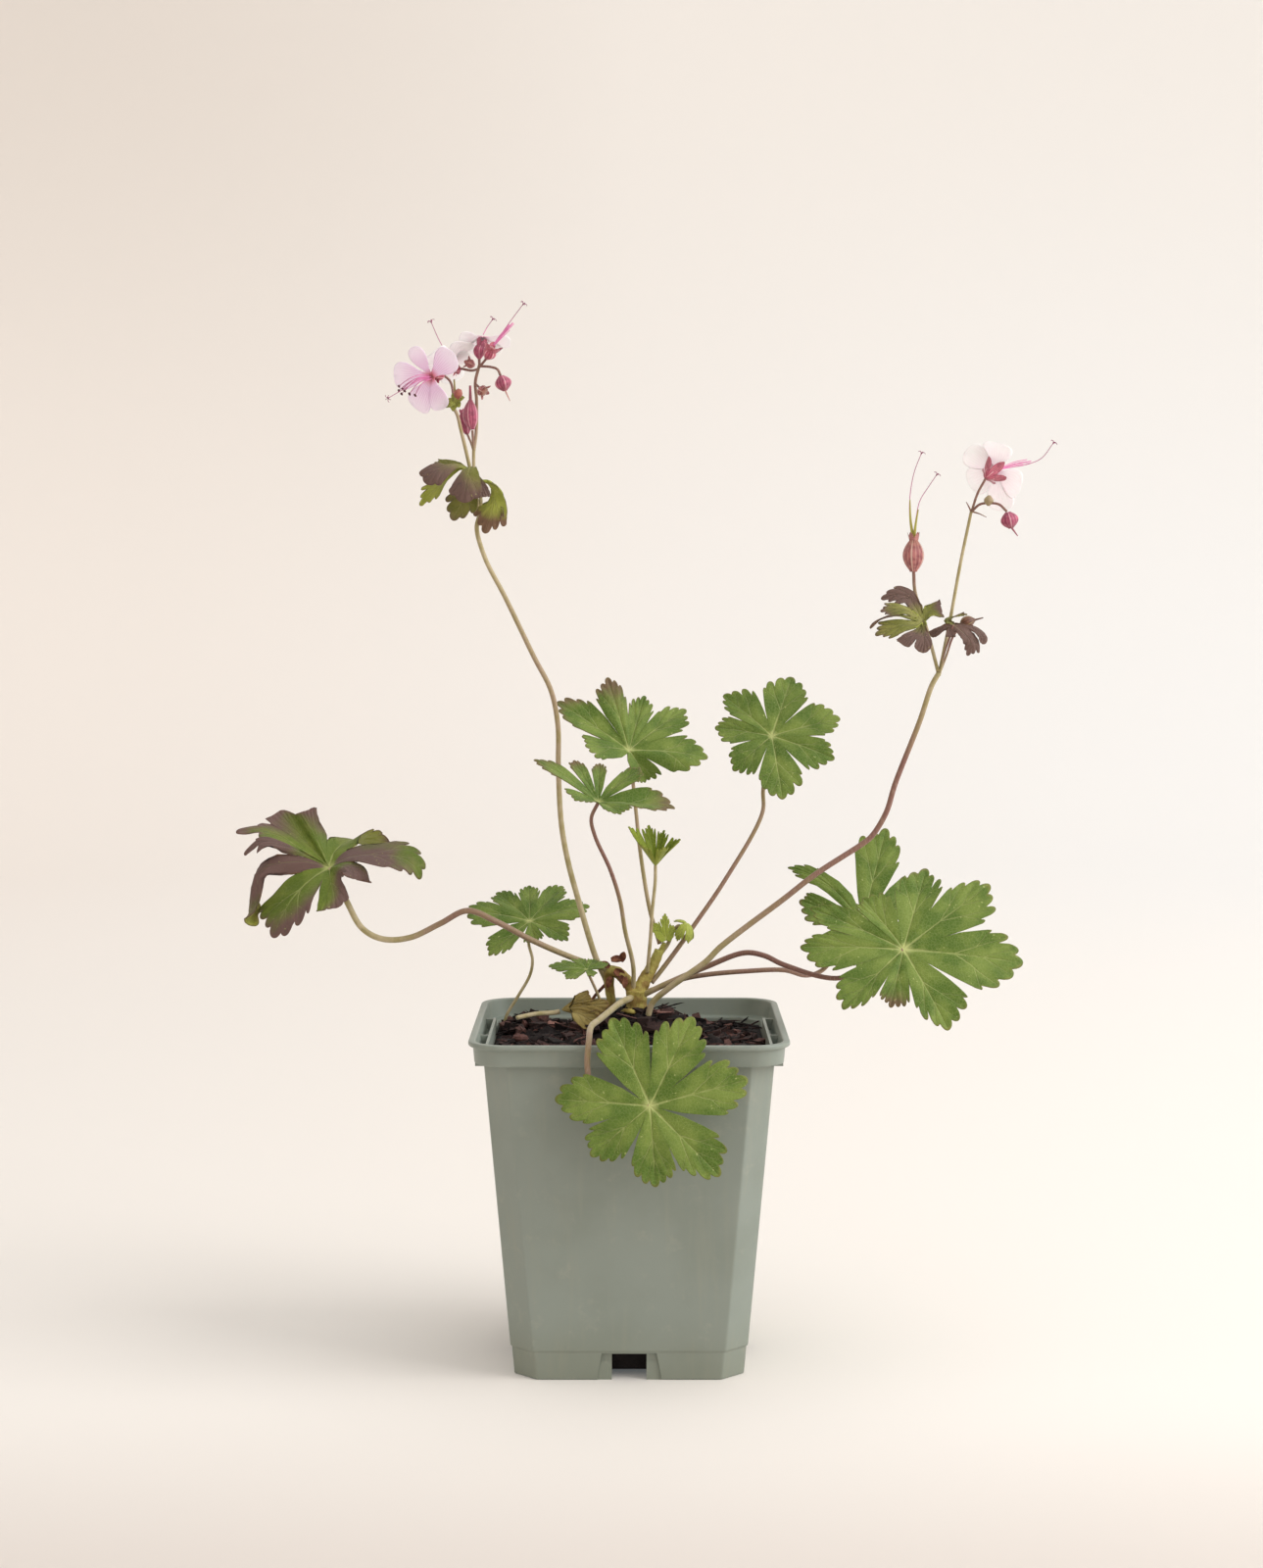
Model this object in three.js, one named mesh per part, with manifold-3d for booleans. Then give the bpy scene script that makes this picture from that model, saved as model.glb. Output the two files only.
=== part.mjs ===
// Hardy geranium (cranesbill) growing in a square plastic nursery pot.
// Units are millimetres, +Z is up, and the origin is the middle of the pot's underside.
// The pot, the compost, every leaf blade, every stalk and each colour of every bloom is one
// closed mesh of its own. Pieces that touch keep a small clearance.

import * as THREE from 'three';
import { mergeVertices } from 'three/addons/utils/BufferGeometryUtils.js';
import Module from 'manifold-3d';

const wasm = await Module();
wasm.setup();

// ---------------------------------------------------------------- driving sizes

const RIM_WIDTH = 110;          // across the lip of the pot
const POT_HEIGHT = 119;
const FOOT_WIDTH = 81;          // across the body at the ground
const SHOULDER_WIDTH = 99.6;    // across the body just under the collar
const COLLAR_WIDTH = 106.8;
const COLLAR_HEIGHT = 7.7;      // collar and lip together
const LIP_HEIGHT = 2.1;
const WALL = 1.3;
const FLOOR = 2;
const SKIRT_HEIGHT = 10;        // the foot of the wall is set back below this line
const SKIRT_SETBACK = 0.5;
const CHAMFER = 8;              // flat cut of the body's corners
const RIM_RADIUS = 13;
const DRAIN = { width: 12, height: 9, depth: 20, frameWidth: 22, frameHeight: 9.6, recess: 1 };

const CLEARANCE = 0.3;          // between neighbouring pieces
const BLADE = 0.7;              // thickness of leaves
const PETAL = 0.6;

const SHOULDER = POT_HEIGHT - COLLAR_HEIGHT;
const COMPOST_EDGE = 110.6;     // height of the compost along the wall

const X = new THREE.Vector3(1, 0, 0);
const Z = new THREE.Vector3(0, 0, 1);
const radians = THREE.MathUtils.degToRad;
const vector = ([x, y, z]) => new THREE.Vector3(x, y, z);
const mix = THREE.MathUtils.lerp;

// ---------------------------------------------------------------- solids

// A closed geometry as a manifold solid, with its shared corners merged.
function solidOf(geometry) {
  const plain = geometry.index ? geometry.toNonIndexed() : geometry;
  const bare = new THREE.BufferGeometry();
  bare.setAttribute('position', plain.getAttribute('position'));
  const merged = mergeVertices(bare, 1e-3);
  return new wasm.Manifold(new wasm.Mesh({
    numProp: 3,
    vertProperties: merged.attributes.position.array,
    triVerts: new Uint32Array(merged.index.array),
  }));
}

function geometryOf(solid) {
  const { vertProperties, triVerts } = solid.getMesh();
  const geometry = new THREE.BufferGeometry();
  geometry.setAttribute('position', new THREE.BufferAttribute(new Float32Array(vertProperties), 3));
  geometry.setIndex(new THREE.BufferAttribute(new Uint32Array(triVerts), 1));
  geometry.computeVertexNormals();
  return geometry;
}

const join = (...geometries) => geometryOf(geometries.map(solidOf).reduce((all, one) => all.add(one)));

const cut = (geometry, ...tools) => geometryOf(
  tools.map(solidOf).reduce((left, tool) => left.subtract(tool), solidOf(geometry)));

// Triangles over numbered corners, as one geometry.
function mesh(corners, triangles) {
  const geometry = new THREE.BufferGeometry();
  geometry.setFromPoints(corners);
  geometry.setIndex(triangles.flat());
  return geometry;
}

function box(width, depth, height, x, y, z) {
  return new THREE.BoxGeometry(width, depth, height).translate(x, y, z);
}

// A solid through a row of rings, all with the same number of corners, closed by a fan at
// both ends. Each ring runs anticlockwise about the way the row travels.
function loft(rings) {
  const sides = rings[0].length;
  const corners = rings.flat();
  const triangles = [];
  for (let ring = 0; ring + 1 < rings.length; ring += 1) {
    for (let side = 0; side < sides; side += 1) {
      const a = ring * sides + side;
      const b = ring * sides + (side + 1) % sides;
      triangles.push([a, b, b + sides], [a, b + sides, a + sides]);
    }
  }
  const middle = (ring) => ring.reduce((sum, point) => sum.add(point), new THREE.Vector3())
    .divideScalar(ring.length);
  const first = corners.push(middle(rings[0])) - 1;
  const last = corners.push(middle(rings.at(-1))) - 1;
  const start = (rings.length - 1) * sides;
  for (let side = 0; side < sides; side += 1) {
    const next = (side + 1) % sides;
    triangles.push([first, next, side], [last, start + side, start + next]);
  }
  return mesh(corners, triangles);
}

// A thin sheet given its thickness behind each corner, along the sheet's own normal there.
// Both faces are split into the same triangles, and the rim is walled round its outline.
function sheet(corners, triangles, outline, thickness) {
  const normals = corners.map(() => new THREE.Vector3());
  for (const [a, b, c] of triangles) {
    const across = corners[c].clone().sub(corners[a]);
    const normal = corners[b].clone().sub(corners[a]).cross(across);
    for (const corner of [a, b, c]) normals[corner].add(normal);
  }
  const behind = corners.map((corner, i) => (
    corner.clone().addScaledVector(normals[i].normalize(), -thickness)));
  const count = corners.length;
  const faces = [...triangles];
  for (const [a, b, c] of triangles) faces.push([c + count, b + count, a + count]);
  outline.forEach((a, i) => {
    const b = outline[(i + 1) % outline.length];
    faces.push([a, a + count, b + count], [a, b + count, b]);
  });
  return mesh([...corners, ...behind], faces);
}

// A round stalk along a smooth curve through its points. `girth` gives the radius from 0,
// the foot, to 1, the tip; `ribs` lengthwise ridges stand out of it.
function stalk(points, girth, { sides = 5, steps = 12, ribs = 0 } = {}) {
  const curve = new THREE.CatmullRomCurve3(points.map(vector), false, 'centripetal');
  const { normals, binormals } = curve.computeFrenetFrames(steps, false);
  const rings = normals.map((normal, step) => {
    const centre = curve.getPointAt(step / steps);
    return Array.from({ length: sides }, (_, side) => {
      const angle = 2 * Math.PI * side / sides;
      const radius = girth(step / steps) * (1 + (ribs ? 0.12 * Math.cos(ribs * angle) : 0));
      return centre.clone()
        .addScaledVector(normal, radius * Math.cos(angle))
        .addScaledVector(binormals[step], radius * Math.sin(angle));
    });
  });
  return loft(rings);
}

const even = (radius) => () => radius;
const taper = (foot, tip) => (t) => mix(foot, tip, t);

// ---------------------------------------------------------------- pot

// One level of the pot: a square of the given half width, with each corner cut flat
// (round = 0) or rounded (round = 1) over the length `corner`.
function level(half, corner, round, z) {
  const steps = 3;
  const ring = [];
  for (let quarter = 0; quarter < 4; quarter += 1) {
    for (let step = 0; step <= steps; step += 1) {
      const t = step / steps;
      const flat = [half - corner * t, half - corner * (1 - t)].reverse();
      const angle = t * Math.PI / 2;
      const arc = [half - corner + corner * Math.cos(angle), half - corner + corner * Math.sin(angle)];
      const x = mix(flat[1], arc[0], round);
      const y = mix(flat[0], arc[1], round);
      ring.push(new THREE.Vector3(x, y, z).applyAxisAngle(Z, quarter * Math.PI / 2));
    }
  }
  return ring;
}

const bodyHalf = (z) => mix(FOOT_WIDTH, SHOULDER_WIDTH, z / SHOULDER) / 2;

// The wall's plan at any height, `inset` inside its outer face.
const bodyLevel = (z, inset) => level(bodyHalf(z) - inset, CHAMFER - inset * 0.6, 0, z);

// Inside the collar on the left and right, the body's wall runs on upwards as a short plate,
// with cross ribs to the collar, so that a pot stacked in this one doesn't jam.
function stackingRibs() {
  const low = SHOULDER - 1;
  const high = POT_HEIGHT - 2.4;
  const middle = (low + high) / 2;
  const plateX = SHOULDER_WIDTH / 2 - 0.9;
  const pieces = [];
  for (const side of [-1, 1]) {
    pieces.push(box(1, 66, high - low, side * plateX, -12, middle));
    for (const y of [20, -17, -44]) pieces.push(box(4.8, 1, high - low, side * (plateX + 2), y, middle));
  }
  return pieces;
}

// The middle of each side has a drain at the foot: a shallow frame pressed into the wall,
// and a slot through it that runs on into the floor.
function drains(shape) {
  return [0, 1, 2, 3].map((quarter) => shape().rotateZ(quarter * Math.PI / 2));
}

function drainBoss() {
  const half = FOOT_WIDTH / 2;
  return box(DRAIN.frameWidth + 3, 4, DRAIN.frameHeight + 2, 0, -half + 3, DRAIN.frameHeight / 2 + 1);
}

function drainFrame() {
  const half = FOOT_WIDTH / 2;
  const top = DRAIN.frameWidth / 2 - 1.5;
  const foot = DRAIN.frameWidth / 2;
  const outline = [
    [-foot, -1], [foot, -1], [foot, 2], [top, DRAIN.frameHeight], [-top, DRAIN.frameHeight], [-foot, 2],
  ];
  const ring = (y) => outline.map(([x, z]) => new THREE.Vector3(x, y, z));
  return loft([ring(-half + DRAIN.recess), ring(-half - 3)]);
}

function drainSlot() {
  const middle = -FOOT_WIDTH / 2 - 3 + DRAIN.depth / 2;
  return box(DRAIN.width, DRAIN.depth, DRAIN.height + 1, 0, middle, DRAIN.height / 2 - 0.5);
}

function pot() {
  const lipFoot = POT_HEIGHT - LIP_HEIGHT;
  const skirt = SKIRT_SETBACK;
  const outside = loft([
    level(bodyHalf(0) - skirt, CHAMFER, 0, 0),
    level(bodyHalf(SKIRT_HEIGHT) - skirt, CHAMFER, 0, SKIRT_HEIGHT),
    level(bodyHalf(SKIRT_HEIGHT), CHAMFER, 0, SKIRT_HEIGHT + 0.4),
    level(SHOULDER_WIDTH / 2, CHAMFER, 0, SHOULDER),
    level(COLLAR_WIDTH / 2 - 0.5, RIM_RADIUS - 2, 1, SHOULDER + 0.01),
    level(COLLAR_WIDTH / 2, RIM_RADIUS - 1.6, 1, lipFoot),
    level(RIM_WIDTH / 2, RIM_RADIUS, 1, lipFoot + 0.5),
    level(RIM_WIDTH / 2, RIM_RADIUS, 1, POT_HEIGHT - 0.6),
    level(RIM_WIDTH / 2 - 0.5, RIM_RADIUS, 1, POT_HEIGHT),
  ]);
  const collarInside = COLLAR_WIDTH / 2 - WALL;
  const inside = loft([
    bodyLevel(FLOOR, WALL + skirt),
    bodyLevel(SKIRT_HEIGHT, WALL + skirt),
    bodyLevel(SKIRT_HEIGHT + 2, WALL),
    bodyLevel(SHOULDER + WALL, WALL),
    level(collarInside - 0.5, RIM_RADIUS - 3, 1, SHOULDER + WALL + 0.01),
    level(collarInside + 0.6, RIM_RADIUS - 2, 1, POT_HEIGHT + 1),
  ]);
  const bossTrim = bodyLevel(0, skirt + 0.2);
  const bossSpace = loft([bossTrim, bossTrim.map((corner) => corner.clone().setZ(DRAIN.frameHeight + 3))]);
  const shell = solidOf(cut(outside, inside))
    .add(solidOf(join(...drains(drainBoss))).intersect(solidOf(bossSpace)))
    .add(solidOf(join(...stackingRibs())).intersect(solidOf(outside)));
  return cut(geometryOf(shell), ...drains(drainFrame), ...drains(drainSlot));
}

// ---------------------------------------------------------------- compost

const MOUNDS = [
  { x: 3, y: 12, height: 8.4, spread: 20 },
  { x: -44, y: 30, height: 5.5, spread: 11 },
  { x: 30, y: -20, height: 2.5, spread: 16 },
  { x: -25, y: -28, height: 2.2, spread: 14 },
];

// Height of the compost's surface: low along the walls, mounded round the crown, and lumpy.
function compostHeight(x, y, edge) {
  const mounds = MOUNDS.reduce((sum, { x: cx, y: cy, height, spread }) => (
    sum + height * Math.exp(-((x - cx) ** 2 + (y - cy) ** 2) / (2 * spread ** 2))), 0);
  const lumps = 0.7 * Math.sin(x * 0.45 + 1) * Math.cos(y * 0.5) + 0.5 * Math.sin(x * 0.9 - y * 0.7);
  return COMPOST_EDGE + (mounds + lumps) * (1 - edge ** 6);
}

function compost() {
  const inset = WALL + CLEARANCE;
  const lower = [
    bodyLevel(FLOOR + CLEARANCE, inset + SKIRT_SETBACK),
    bodyLevel(SKIRT_HEIGHT, inset + SKIRT_SETBACK),
    bodyLevel(SKIRT_HEIGHT + 2, inset),
  ];
  const border = bodyLevel(COMPOST_EDGE, inset);
  const surface = [1, 0.86, 0.7, 0.53, 0.36, 0.18].map((fraction) => border.map((corner) => {
    const x = corner.x * fraction;
    const y = corner.y * fraction;
    return new THREE.Vector3(x, y, compostHeight(x, y, fraction));
  }));
  const grown = DRAIN.frameHeight + 2 + CLEARANCE;
  const spare = () => box(DRAIN.frameWidth + 4, 12, grown * 2, 0, -FOOT_WIDTH / 2, 0);
  return cut(loft([...lower, ...surface]), ...drains(spare), ...holes());
}

// ---------------------------------------------------------------- leaves

// Half of a lobe's cut edge, from the slit beside it to its tip: the share of the lobe's
// half angle, and the share of its length.
const TOOTHED = [[0.93, 0.60], [0.87, 0.76], [0.75, 0.73], [0.62, 0.89], [0.46, 0.76], [0.31, 0.93]];
const NOTCHED = [[0.92, 0.62], [0.68, 0.86], [0.44, 0.74], [0.28, 0.92]];
const SLIT = 0.26;              // where the slits between lobes end, as a share of the length
const OPEN_SLIT = 0.12;         // the same where the blade is open beside its stalk
const MIDRIB = [SLIT, 0.48, 0.76];

// A right-handed frame whose third axis is `up` and whose first leans to +X.
function frameOf(up) {
  const n = vector(up).normalize();
  const e1 = X.clone().addScaledVector(n, -X.dot(n)).normalize();
  return [e1, n.clone().cross(e1), n];
}

// A lobed blade spread round the top of its stalk. Each lobe is [direction, length, rise at
// its base, rise at its tip] in degrees and mm; its ray bends evenly from one rise to the
// other, and between two lobes the rays pass smoothly from one to the next.
function leaf({ centre, up, lobes, spread = 30, edge = TOOTHED, pleat = 1.2 }) {
  const [e1, e2, n] = frameOf(up);
  const origin = vector(centre);
  const ordered = [...lobes].sort((a, b) => a[0] - b[0]);
  const count = ordered.length;

  function point(lobe, neighbour, offset, share, reach) {
    const w = share ** 2 / 2;
    const [, length, base, tip] = lobe.map((value, i) => mix(value, neighbour[i], w));
    const bend = radians(tip - base) || 1e-6;
    const rise = radians(base) + bend * reach;
    const out = length * (Math.sin(rise) - Math.sin(radians(base))) / bend;
    const lift = length * (Math.cos(radians(base)) - Math.cos(rise)) / bend + pleat * share * reach;
    const heading = radians(lobe[0] + offset);
    return origin.clone()
      .addScaledVector(e1, out * Math.cos(heading))
      .addScaledVector(e2, out * Math.sin(heading))
      .addScaledVector(n, lift);
  }

  const corners = [origin.clone()];
  const triangles = [];
  const outline = [];
  const add = (corner) => corners.push(corner) - 1;
  const slits = ordered.map((lobe, i) => {
    const next = ordered[(i + 1) % count];
    const gap = (next[0] - lobe[0] + 360) % 360;
    const open = gap > 2.3 * spread;
    const corner = add(point(lobe, next, gap / 2, 1, open ? OPEN_SLIT : SLIT));
    return { corner, half: gap / 2, width: Math.min(gap / 2, spread) };
  });
  ordered.forEach((lobe, i) => {
    const rib = MIDRIB.map((reach) => add(point(lobe, lobe, 0, 0, reach)));
    const tip = add(point(lobe, lobe, 0, 0, 1));
    const half = (side) => {
      const slit = slits[side > 0 ? i : (i + count - 1) % count];
      const neighbour = ordered[(i + count + side) % count];
      const teeth = edge.map(([angle, reach]) => {
        const offset = side * angle * slit.width;
        return add(point(lobe, neighbour, offset, angle * slit.width / slit.half, reach));
      });
      const turn = ([a, b, c]) => (side > 0 ? [a, b, c] : [a, c, b]);
      const hub = teeth.length - 2;
      triangles.push(turn([0, rib[0], slit.corner]), turn([rib[0], rib[1], slit.corner]));
      triangles.push(turn([rib[1], teeth[0], slit.corner]));
      for (let k = 0; k < hub; k += 1) triangles.push(turn([rib[1], teeth[k + 1], teeth[k]]));
      triangles.push(turn([rib[1], rib[2], teeth[hub]]), turn([rib[2], teeth[hub + 1], teeth[hub]]));
      triangles.push(turn([rib[2], tip, teeth[hub + 1]]));
      return teeth;
    };
    const before = half(-1);
    const after = half(1);
    outline.push(...before, tip, ...after.reverse(), slits[i].corner);
  });
  return sheet(corners, triangles, outline, BLADE);
}

// The blades. Each stalk's route below ends just under the centre given here.
const LEAVES = {
  leaf_left: {
    centre: [-108.3, 15, 172.4], up: [-0.1, -0.3, 0.95], spread: 33, pleat: 2,
    lobes: [[2, 40, 30, -50], [46, 30, 24, -12], [141, 44, 46, -45], [190, 42, 17, -95],
      [231, 32, 0, -75], [272, 22, 0, -62], [318, 17, 15, -50]],
  },
  leaf_left_low: {
    centre: [-36.6, 33, 150.6], up: [0, -0.55, 0.83],
    lobes: [[340, 16, -5, -30], [24, 24, 8, -12], [57, 22, 12, -5], [92, 18, 14, 0],
      [130, 20, 10, -5], [170, 25, 12, -5], [224, 21, -5, -20], [285, 9, -10, -30]],
  },
  leaf_small: {
    centre: [-15.2, 1, 137.2], up: [0, -0.45, 0.89], edge: NOTCHED, spread: 28, pleat: 0.5,
    lobes: [[12, 8, 15, 5], [65, 6.5, 15, 5], [115, 7, 15, 5], [168, 14, 8, -8],
      [215, 10, -5, -20], [300, 7, -5, -15]],
  },
  leaf_top_middle: {
    centre: [-0.1, 18, 214.5], up: [0.05, -0.72, 0.69],
    lobes: [[0, 29, 5, -15], [42, 28, 12, -5], [76, 23, 20, 5], [108, 29, 25, 15],
      [147, 31, 15, 5], [196, 18, 28, 18], [312, 14, -20, -70]],
  },
  leaf_under_middle: {
    centre: [-10.8, -20, 198.7], up: [0, -0.3, 0.95],
    lobes: [[352, 27, 5, -8], [35, 18, 32, 20], [88, 15, 45, 30], [128, 17, 45, 33],
      [168, 27, 42, 22], [230, 13, 30, 10], [308, 13, 12, -15]],
  },
  leaf_top_right: {
    centre: [51.9, 28, 219.1], up: [0, -0.84, 0.54],
    lobes: [[17, 26.5, 5, -10], [72, 26, 5, -5], [135, 24.5, 5, -5], [170, 21, 5, -5],
      [224, 20, 5, -10], [277, 26.5, 5, -5], [338, 24.5, 5, -10]],
  },
  leaf_right_back: {
    centre: [85.5, 30, 150.2], up: [0, -0.8, 0.6],
    lobes: [[30, 30, 5, -5], [71, 38, 10, 0], [124, 35, 10, -10], [168, 24, 5, -20],
      [225, 22, 5, -20], [280, 24, 0, -20], [336, 26, 0, -20]],
  },
  leaf_right_front: {
    centre: [95.5, -22, 147.5], up: [0, -0.86, 0.5], spread: 34,
    lobes: [[40, 40, 5, -5], [76, 33, 5, -10], [163, 37, 5, -8], [226, 30, 5, -10],
      [288, 31, 5, -10], [353, 41, 5, -10]],
  },
  leaf_hanging: {
    centre: [7, -64.5, 100.5], up: [0, -0.98, 0.2],
    lobes: [[14, 35, 3, -6], [61, 33, 3, -3], [112, 32, 3, -3], [174, 31, 3, -6],
      [215, 27, 3, -6], [275, 27, 3, -6], [322, 33, 3, -6]],
  },
  leaf_young: {
    centre: [9.4, 10, 173.6], up: [0, -0.2, 0.98], edge: NOTCHED, pleat: 0.6,
    lobes: [[15, 13, 48, 42], [60, 13, 60, 62], [110, 15, 60, 64], [170, 17, 52, 58],
      [225, 11, 52, 55], [300, 10, 52, 58]],
  },
  leaf_bud: {
    centre: [13.2, 11.6, 147], up: [0, -0.95, 0.3], edge: NOTCHED, pleat: 0,
    lobes: [[60, 5.5, 5, 0], [92, 9, 5, 0], [128, 7, 5, 0]],
  },
  leaf_curled: {
    centre: [20.7, 11.4, 152.6], up: [0.25, -0.35, 0.9], edge: NOTCHED, pleat: 0.3,
    lobes: [[10, 8, -20, -95], [72, 7, -20, -85], [128, 6, 0, -40], [240, 8, -20, -95],
      [302, 8, -20, -95]],
  },
  dead_leaf: {
    centre: [-24, 2, 123.8], up: [0.1, -0.75, 0.66], edge: NOTCHED, pleat: 0.8,
    lobes: [[8, 12, 0, -10], [55, 11, 10, -5], [318, 12, -10, -15], [265, 8, -20, -35]],
  },
  bract_leaf_left: {
    centre: [-54.9, -12.6, 309.2], up: [-0.2, -0.4, 0.9], edge: NOTCHED, spread: 26,
    lobes: [[120, 13, 60, 10], [152, 21, 58, -55], [184, 24, 35, -75],
      [214, 19, -20, -80], [252, 21, 88, -115]],
  },
  bract_leaf_left_small: {
    centre: [-51.8, -10.5, 308.2], up: [0.2, -0.4, 0.9], edge: NOTCHED,
    lobes: [[292, 13, 0, -95], [345, 20, 30, -115], [35, 10, 20, -60]],
  },
  bract_leaf_right: {
    centre: [102.4, -6, 261], up: [-0.1, -0.75, 0.66], edge: NOTCHED,
    lobes: [[48, 12, 15, 0], [106, 16, 20, 0], [140, 20, 15, -15], [178, 19, 0, -15],
      [215, 13, -10, -50], [262, 11, -15, -60]],
  },
  bract_leaf_right_small: {
    centre: [115, -7, 260.5], up: [0.1, -0.6, 0.8], edge: NOTCHED,
    lobes: [[60, 7, 15, 0], [333, 13, 10, -60], [290, 14, -10, -60], [236, 8, -20, -60]],
  },
};

// ---------------------------------------------------------------- stalks

const STALKS = {
  leaf_left: {
    girth: taper(1.05, 1.1),
    route: [[-7, 14.5, 135], [-20, 13.5, 139.5], [-35.6, 8, 147.1], [-47.4, 2, 154.2],
      [-57.5, 0, 158.4], [-67.5, 3, 153.4], [-78.5, 6, 148], [-88.5, 8, 147.2], [-96, 10, 150.8],
      [-102, 13, 160.5], [-107.5, 15, 171]],
  },
  leaf_left_low: {
    girth: taper(0.6, 0.55),
    route: [[-46.5, 30, 104], [-45.5, 30, 115], [-41.3, 30, 122.5], [-36.5, 31, 131],
      [-35.6, 31, 136.5], [-37, 32, 142.5], [-36.5, 33.6, 148.7]],
  },
  leaf_small: {
    girth: taper(0.55, 0.5),
    route: [[-8, 8, 108], [-8.4, 7, 119], [-11, 4.5, 127], [-14.8, 1.7, 135.8]],
  },
  leaf_top_middle: {
    girth: taper(0.8, 0.65),
    route: [[11, 15, 144.5], [7.5, 16, 156.5], [4, 18, 177.5], [2.5, 19.5, 191.5],
      [0.5, 19.8, 210.4], [0, 19.4, 212.6]],
  },
  leaf_under_middle: {
    girth: taper(0.85, 0.65),
    route: [[1.5, 11.5, 127.5], [1.4, 8, 137.5], [-1.5, 2, 151], [-3.2, -3, 162],
      [-6.7, -9, 174], [-12, -15, 186.5], [-13.2, -18, 193], [-11.3, -19.7, 197.4]],
  },
  leaf_top_right: {
    girth: taper(0.9, 0.7),
    route: [[8, 14, 130.5], [11.3, 15, 134.5], [18.9, 17, 144.5], [23.2, 18, 150.5],
      [34.8, 22, 167], [48.5, 27, 191], [49, 31, 199.5], [51.6, 29.5, 217.8]],
  },
  leaf_right_back: {
    girth: taper(0.95, 0.8),
    route: [[4, 16, 126], [19, 16, 131.5], [27.5, 15.5, 133.2], [42, 15.5, 134.5],
      [56.1, 17, 134.7], [64.2, 21, 132.2], [70.3, 26, 133.2], [74.9, 30, 137.3], [84.7, 33, 148]],
  },
  leaf_right_front: {
    girth: taper(1.1, 0.8),
    route: [[5, 11, 126.5], [13.5, 8.5, 131], [27.5, 8, 137.1], [41, 5, 142.6],
      [48, 1, 142.2], [55, -3, 139.4], [73, -10, 135.6], [86.5, -17, 141.5], [94.9, -20.6, 146.2]],
  },
  leaf_hanging: {
    girth: taper(1.2, 0.95),
    route: [[1, 10, 125.8], [-3, 3, 125], [-7, -8, 123.5], [-10.5, -24, 123],
      [-13, -42, 123.5], [-13.5, -56.5, 121.5], [-14, -59.5, 112.5], [-12.5, -60.5, 106.5],
      [0, -61, 101], [5, -61.2, 100.4], [6.6, -62.4, 100.4]],
  },
  leaf_young: {
    girth: taper(0.7, 0.6),
    route: [[6.5, 11.5, 134.5], [7.6, 10.5, 147], [8.3, 10, 157.5], [9.3, 10, 167.5], [9.4, 10, 172.4]],
  },
  leaf_curled: {
    girth: taper(0.8, 0.65),
    route: [[10.6, 14.6, 140], [14, 15.8, 144.5], [15.8, 15.4, 149], [17.6, 14.6, 151],
      [19.2, 13.4, 151]],
  },
  dead_leaf: {
    girth: taper(0.8, 0.9),
    route: [[-40, -4, 120.6], [-33, 0, 121.4], [-27, 3.2, 121.3], [-25, 3.8, 121.6]],
  },
};

const leafStalk = (name) => {
  const { route, girth } = STALKS[name];
  return stalk(route, girth, { steps: Math.max(5, Math.round(route.length * 1.4)) });
};

// ---------------------------------------------------------------- crown

// The short woody stem that the leaves spring from, an arching side shoot on the left with a
// leg of its own in the compost, and a leafy shoot on the right.
const CROWN = {
  trunk: { girth: taper(4.6, 3.6), route: [[2.5, 12, 106], [2.5, 12, 118], [2.5, 12, 128]] },
  right: {
    girth: taper(2.8, 1.7),
    route: [[2.5, 12, 126], [5.5, 13, 131.5], [8.6, 14, 137], [10.8, 14, 142.4]],
  },
  left: { girth: taper(2.4, 2), route: [[2, 12, 127], [-1, 13, 131.5], [-4, 14, 134], [-8, 15, 135]] },
  leg: {
    girth: taper(2, 1.2),
    route: [[-7.2, 15, 135], [-7.4, 17, 130], [-6.5, 17, 122.5], [-6, 17, 108]],
  },
  sheath: { girth: taper(1.6, 0.8), route: [[8, 14, 136], [11, 14.2, 141], [12.6, 12.8, 145.2]] },
  rootlet: {
    girth: even(0.9),
    route: [[-3, 8.5, 119], [-1.5, 5, 121.6], [1, 3.8, 121.6], [3.2, 5.4, 121], [3.6, 9, 119.6]],
  },
};

const CROWN_GRID = { sides: 7, steps: 4 };

const crown = () => join(...Object.values(CROWN).map(({ route, girth }) => (
  stalk(route, girth, CROWN_GRID))));

// The same stalk a little thicker and longer at both ends: the space that it keeps clear.
function swollen({ route, girth }, grid) {
  const ends = [[0, 1], [route.length - 1, route.length - 2]].map(([end, next]) => {
    const outwards = vector(route[end]).sub(vector(route[next])).setLength(CLEARANCE);
    return vector(route[end]).add(outwards).toArray();
  });
  return stalk([ends[0], ...route.slice(1, -1), ends[1]], (t) => girth(t) + 1.2 * CLEARANCE, grid);
}

// A stalk that springs from the crown stops just short of it.
function clearOfCrown(geometry) {
  return largest(cut(geometry, ...Object.values(CROWN).map((piece) => swollen(piece, CROWN_GRID))));
}

// The biggest of the bodies that a cut leaves.
function largest(geometry) {
  const bodies = solidOf(geometry).decompose();
  return geometryOf(bodies.reduce((best, body) => (body.volume() > best.volume() ? body : best)));
}

// ---------------------------------------------------------------- flower stems

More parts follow.
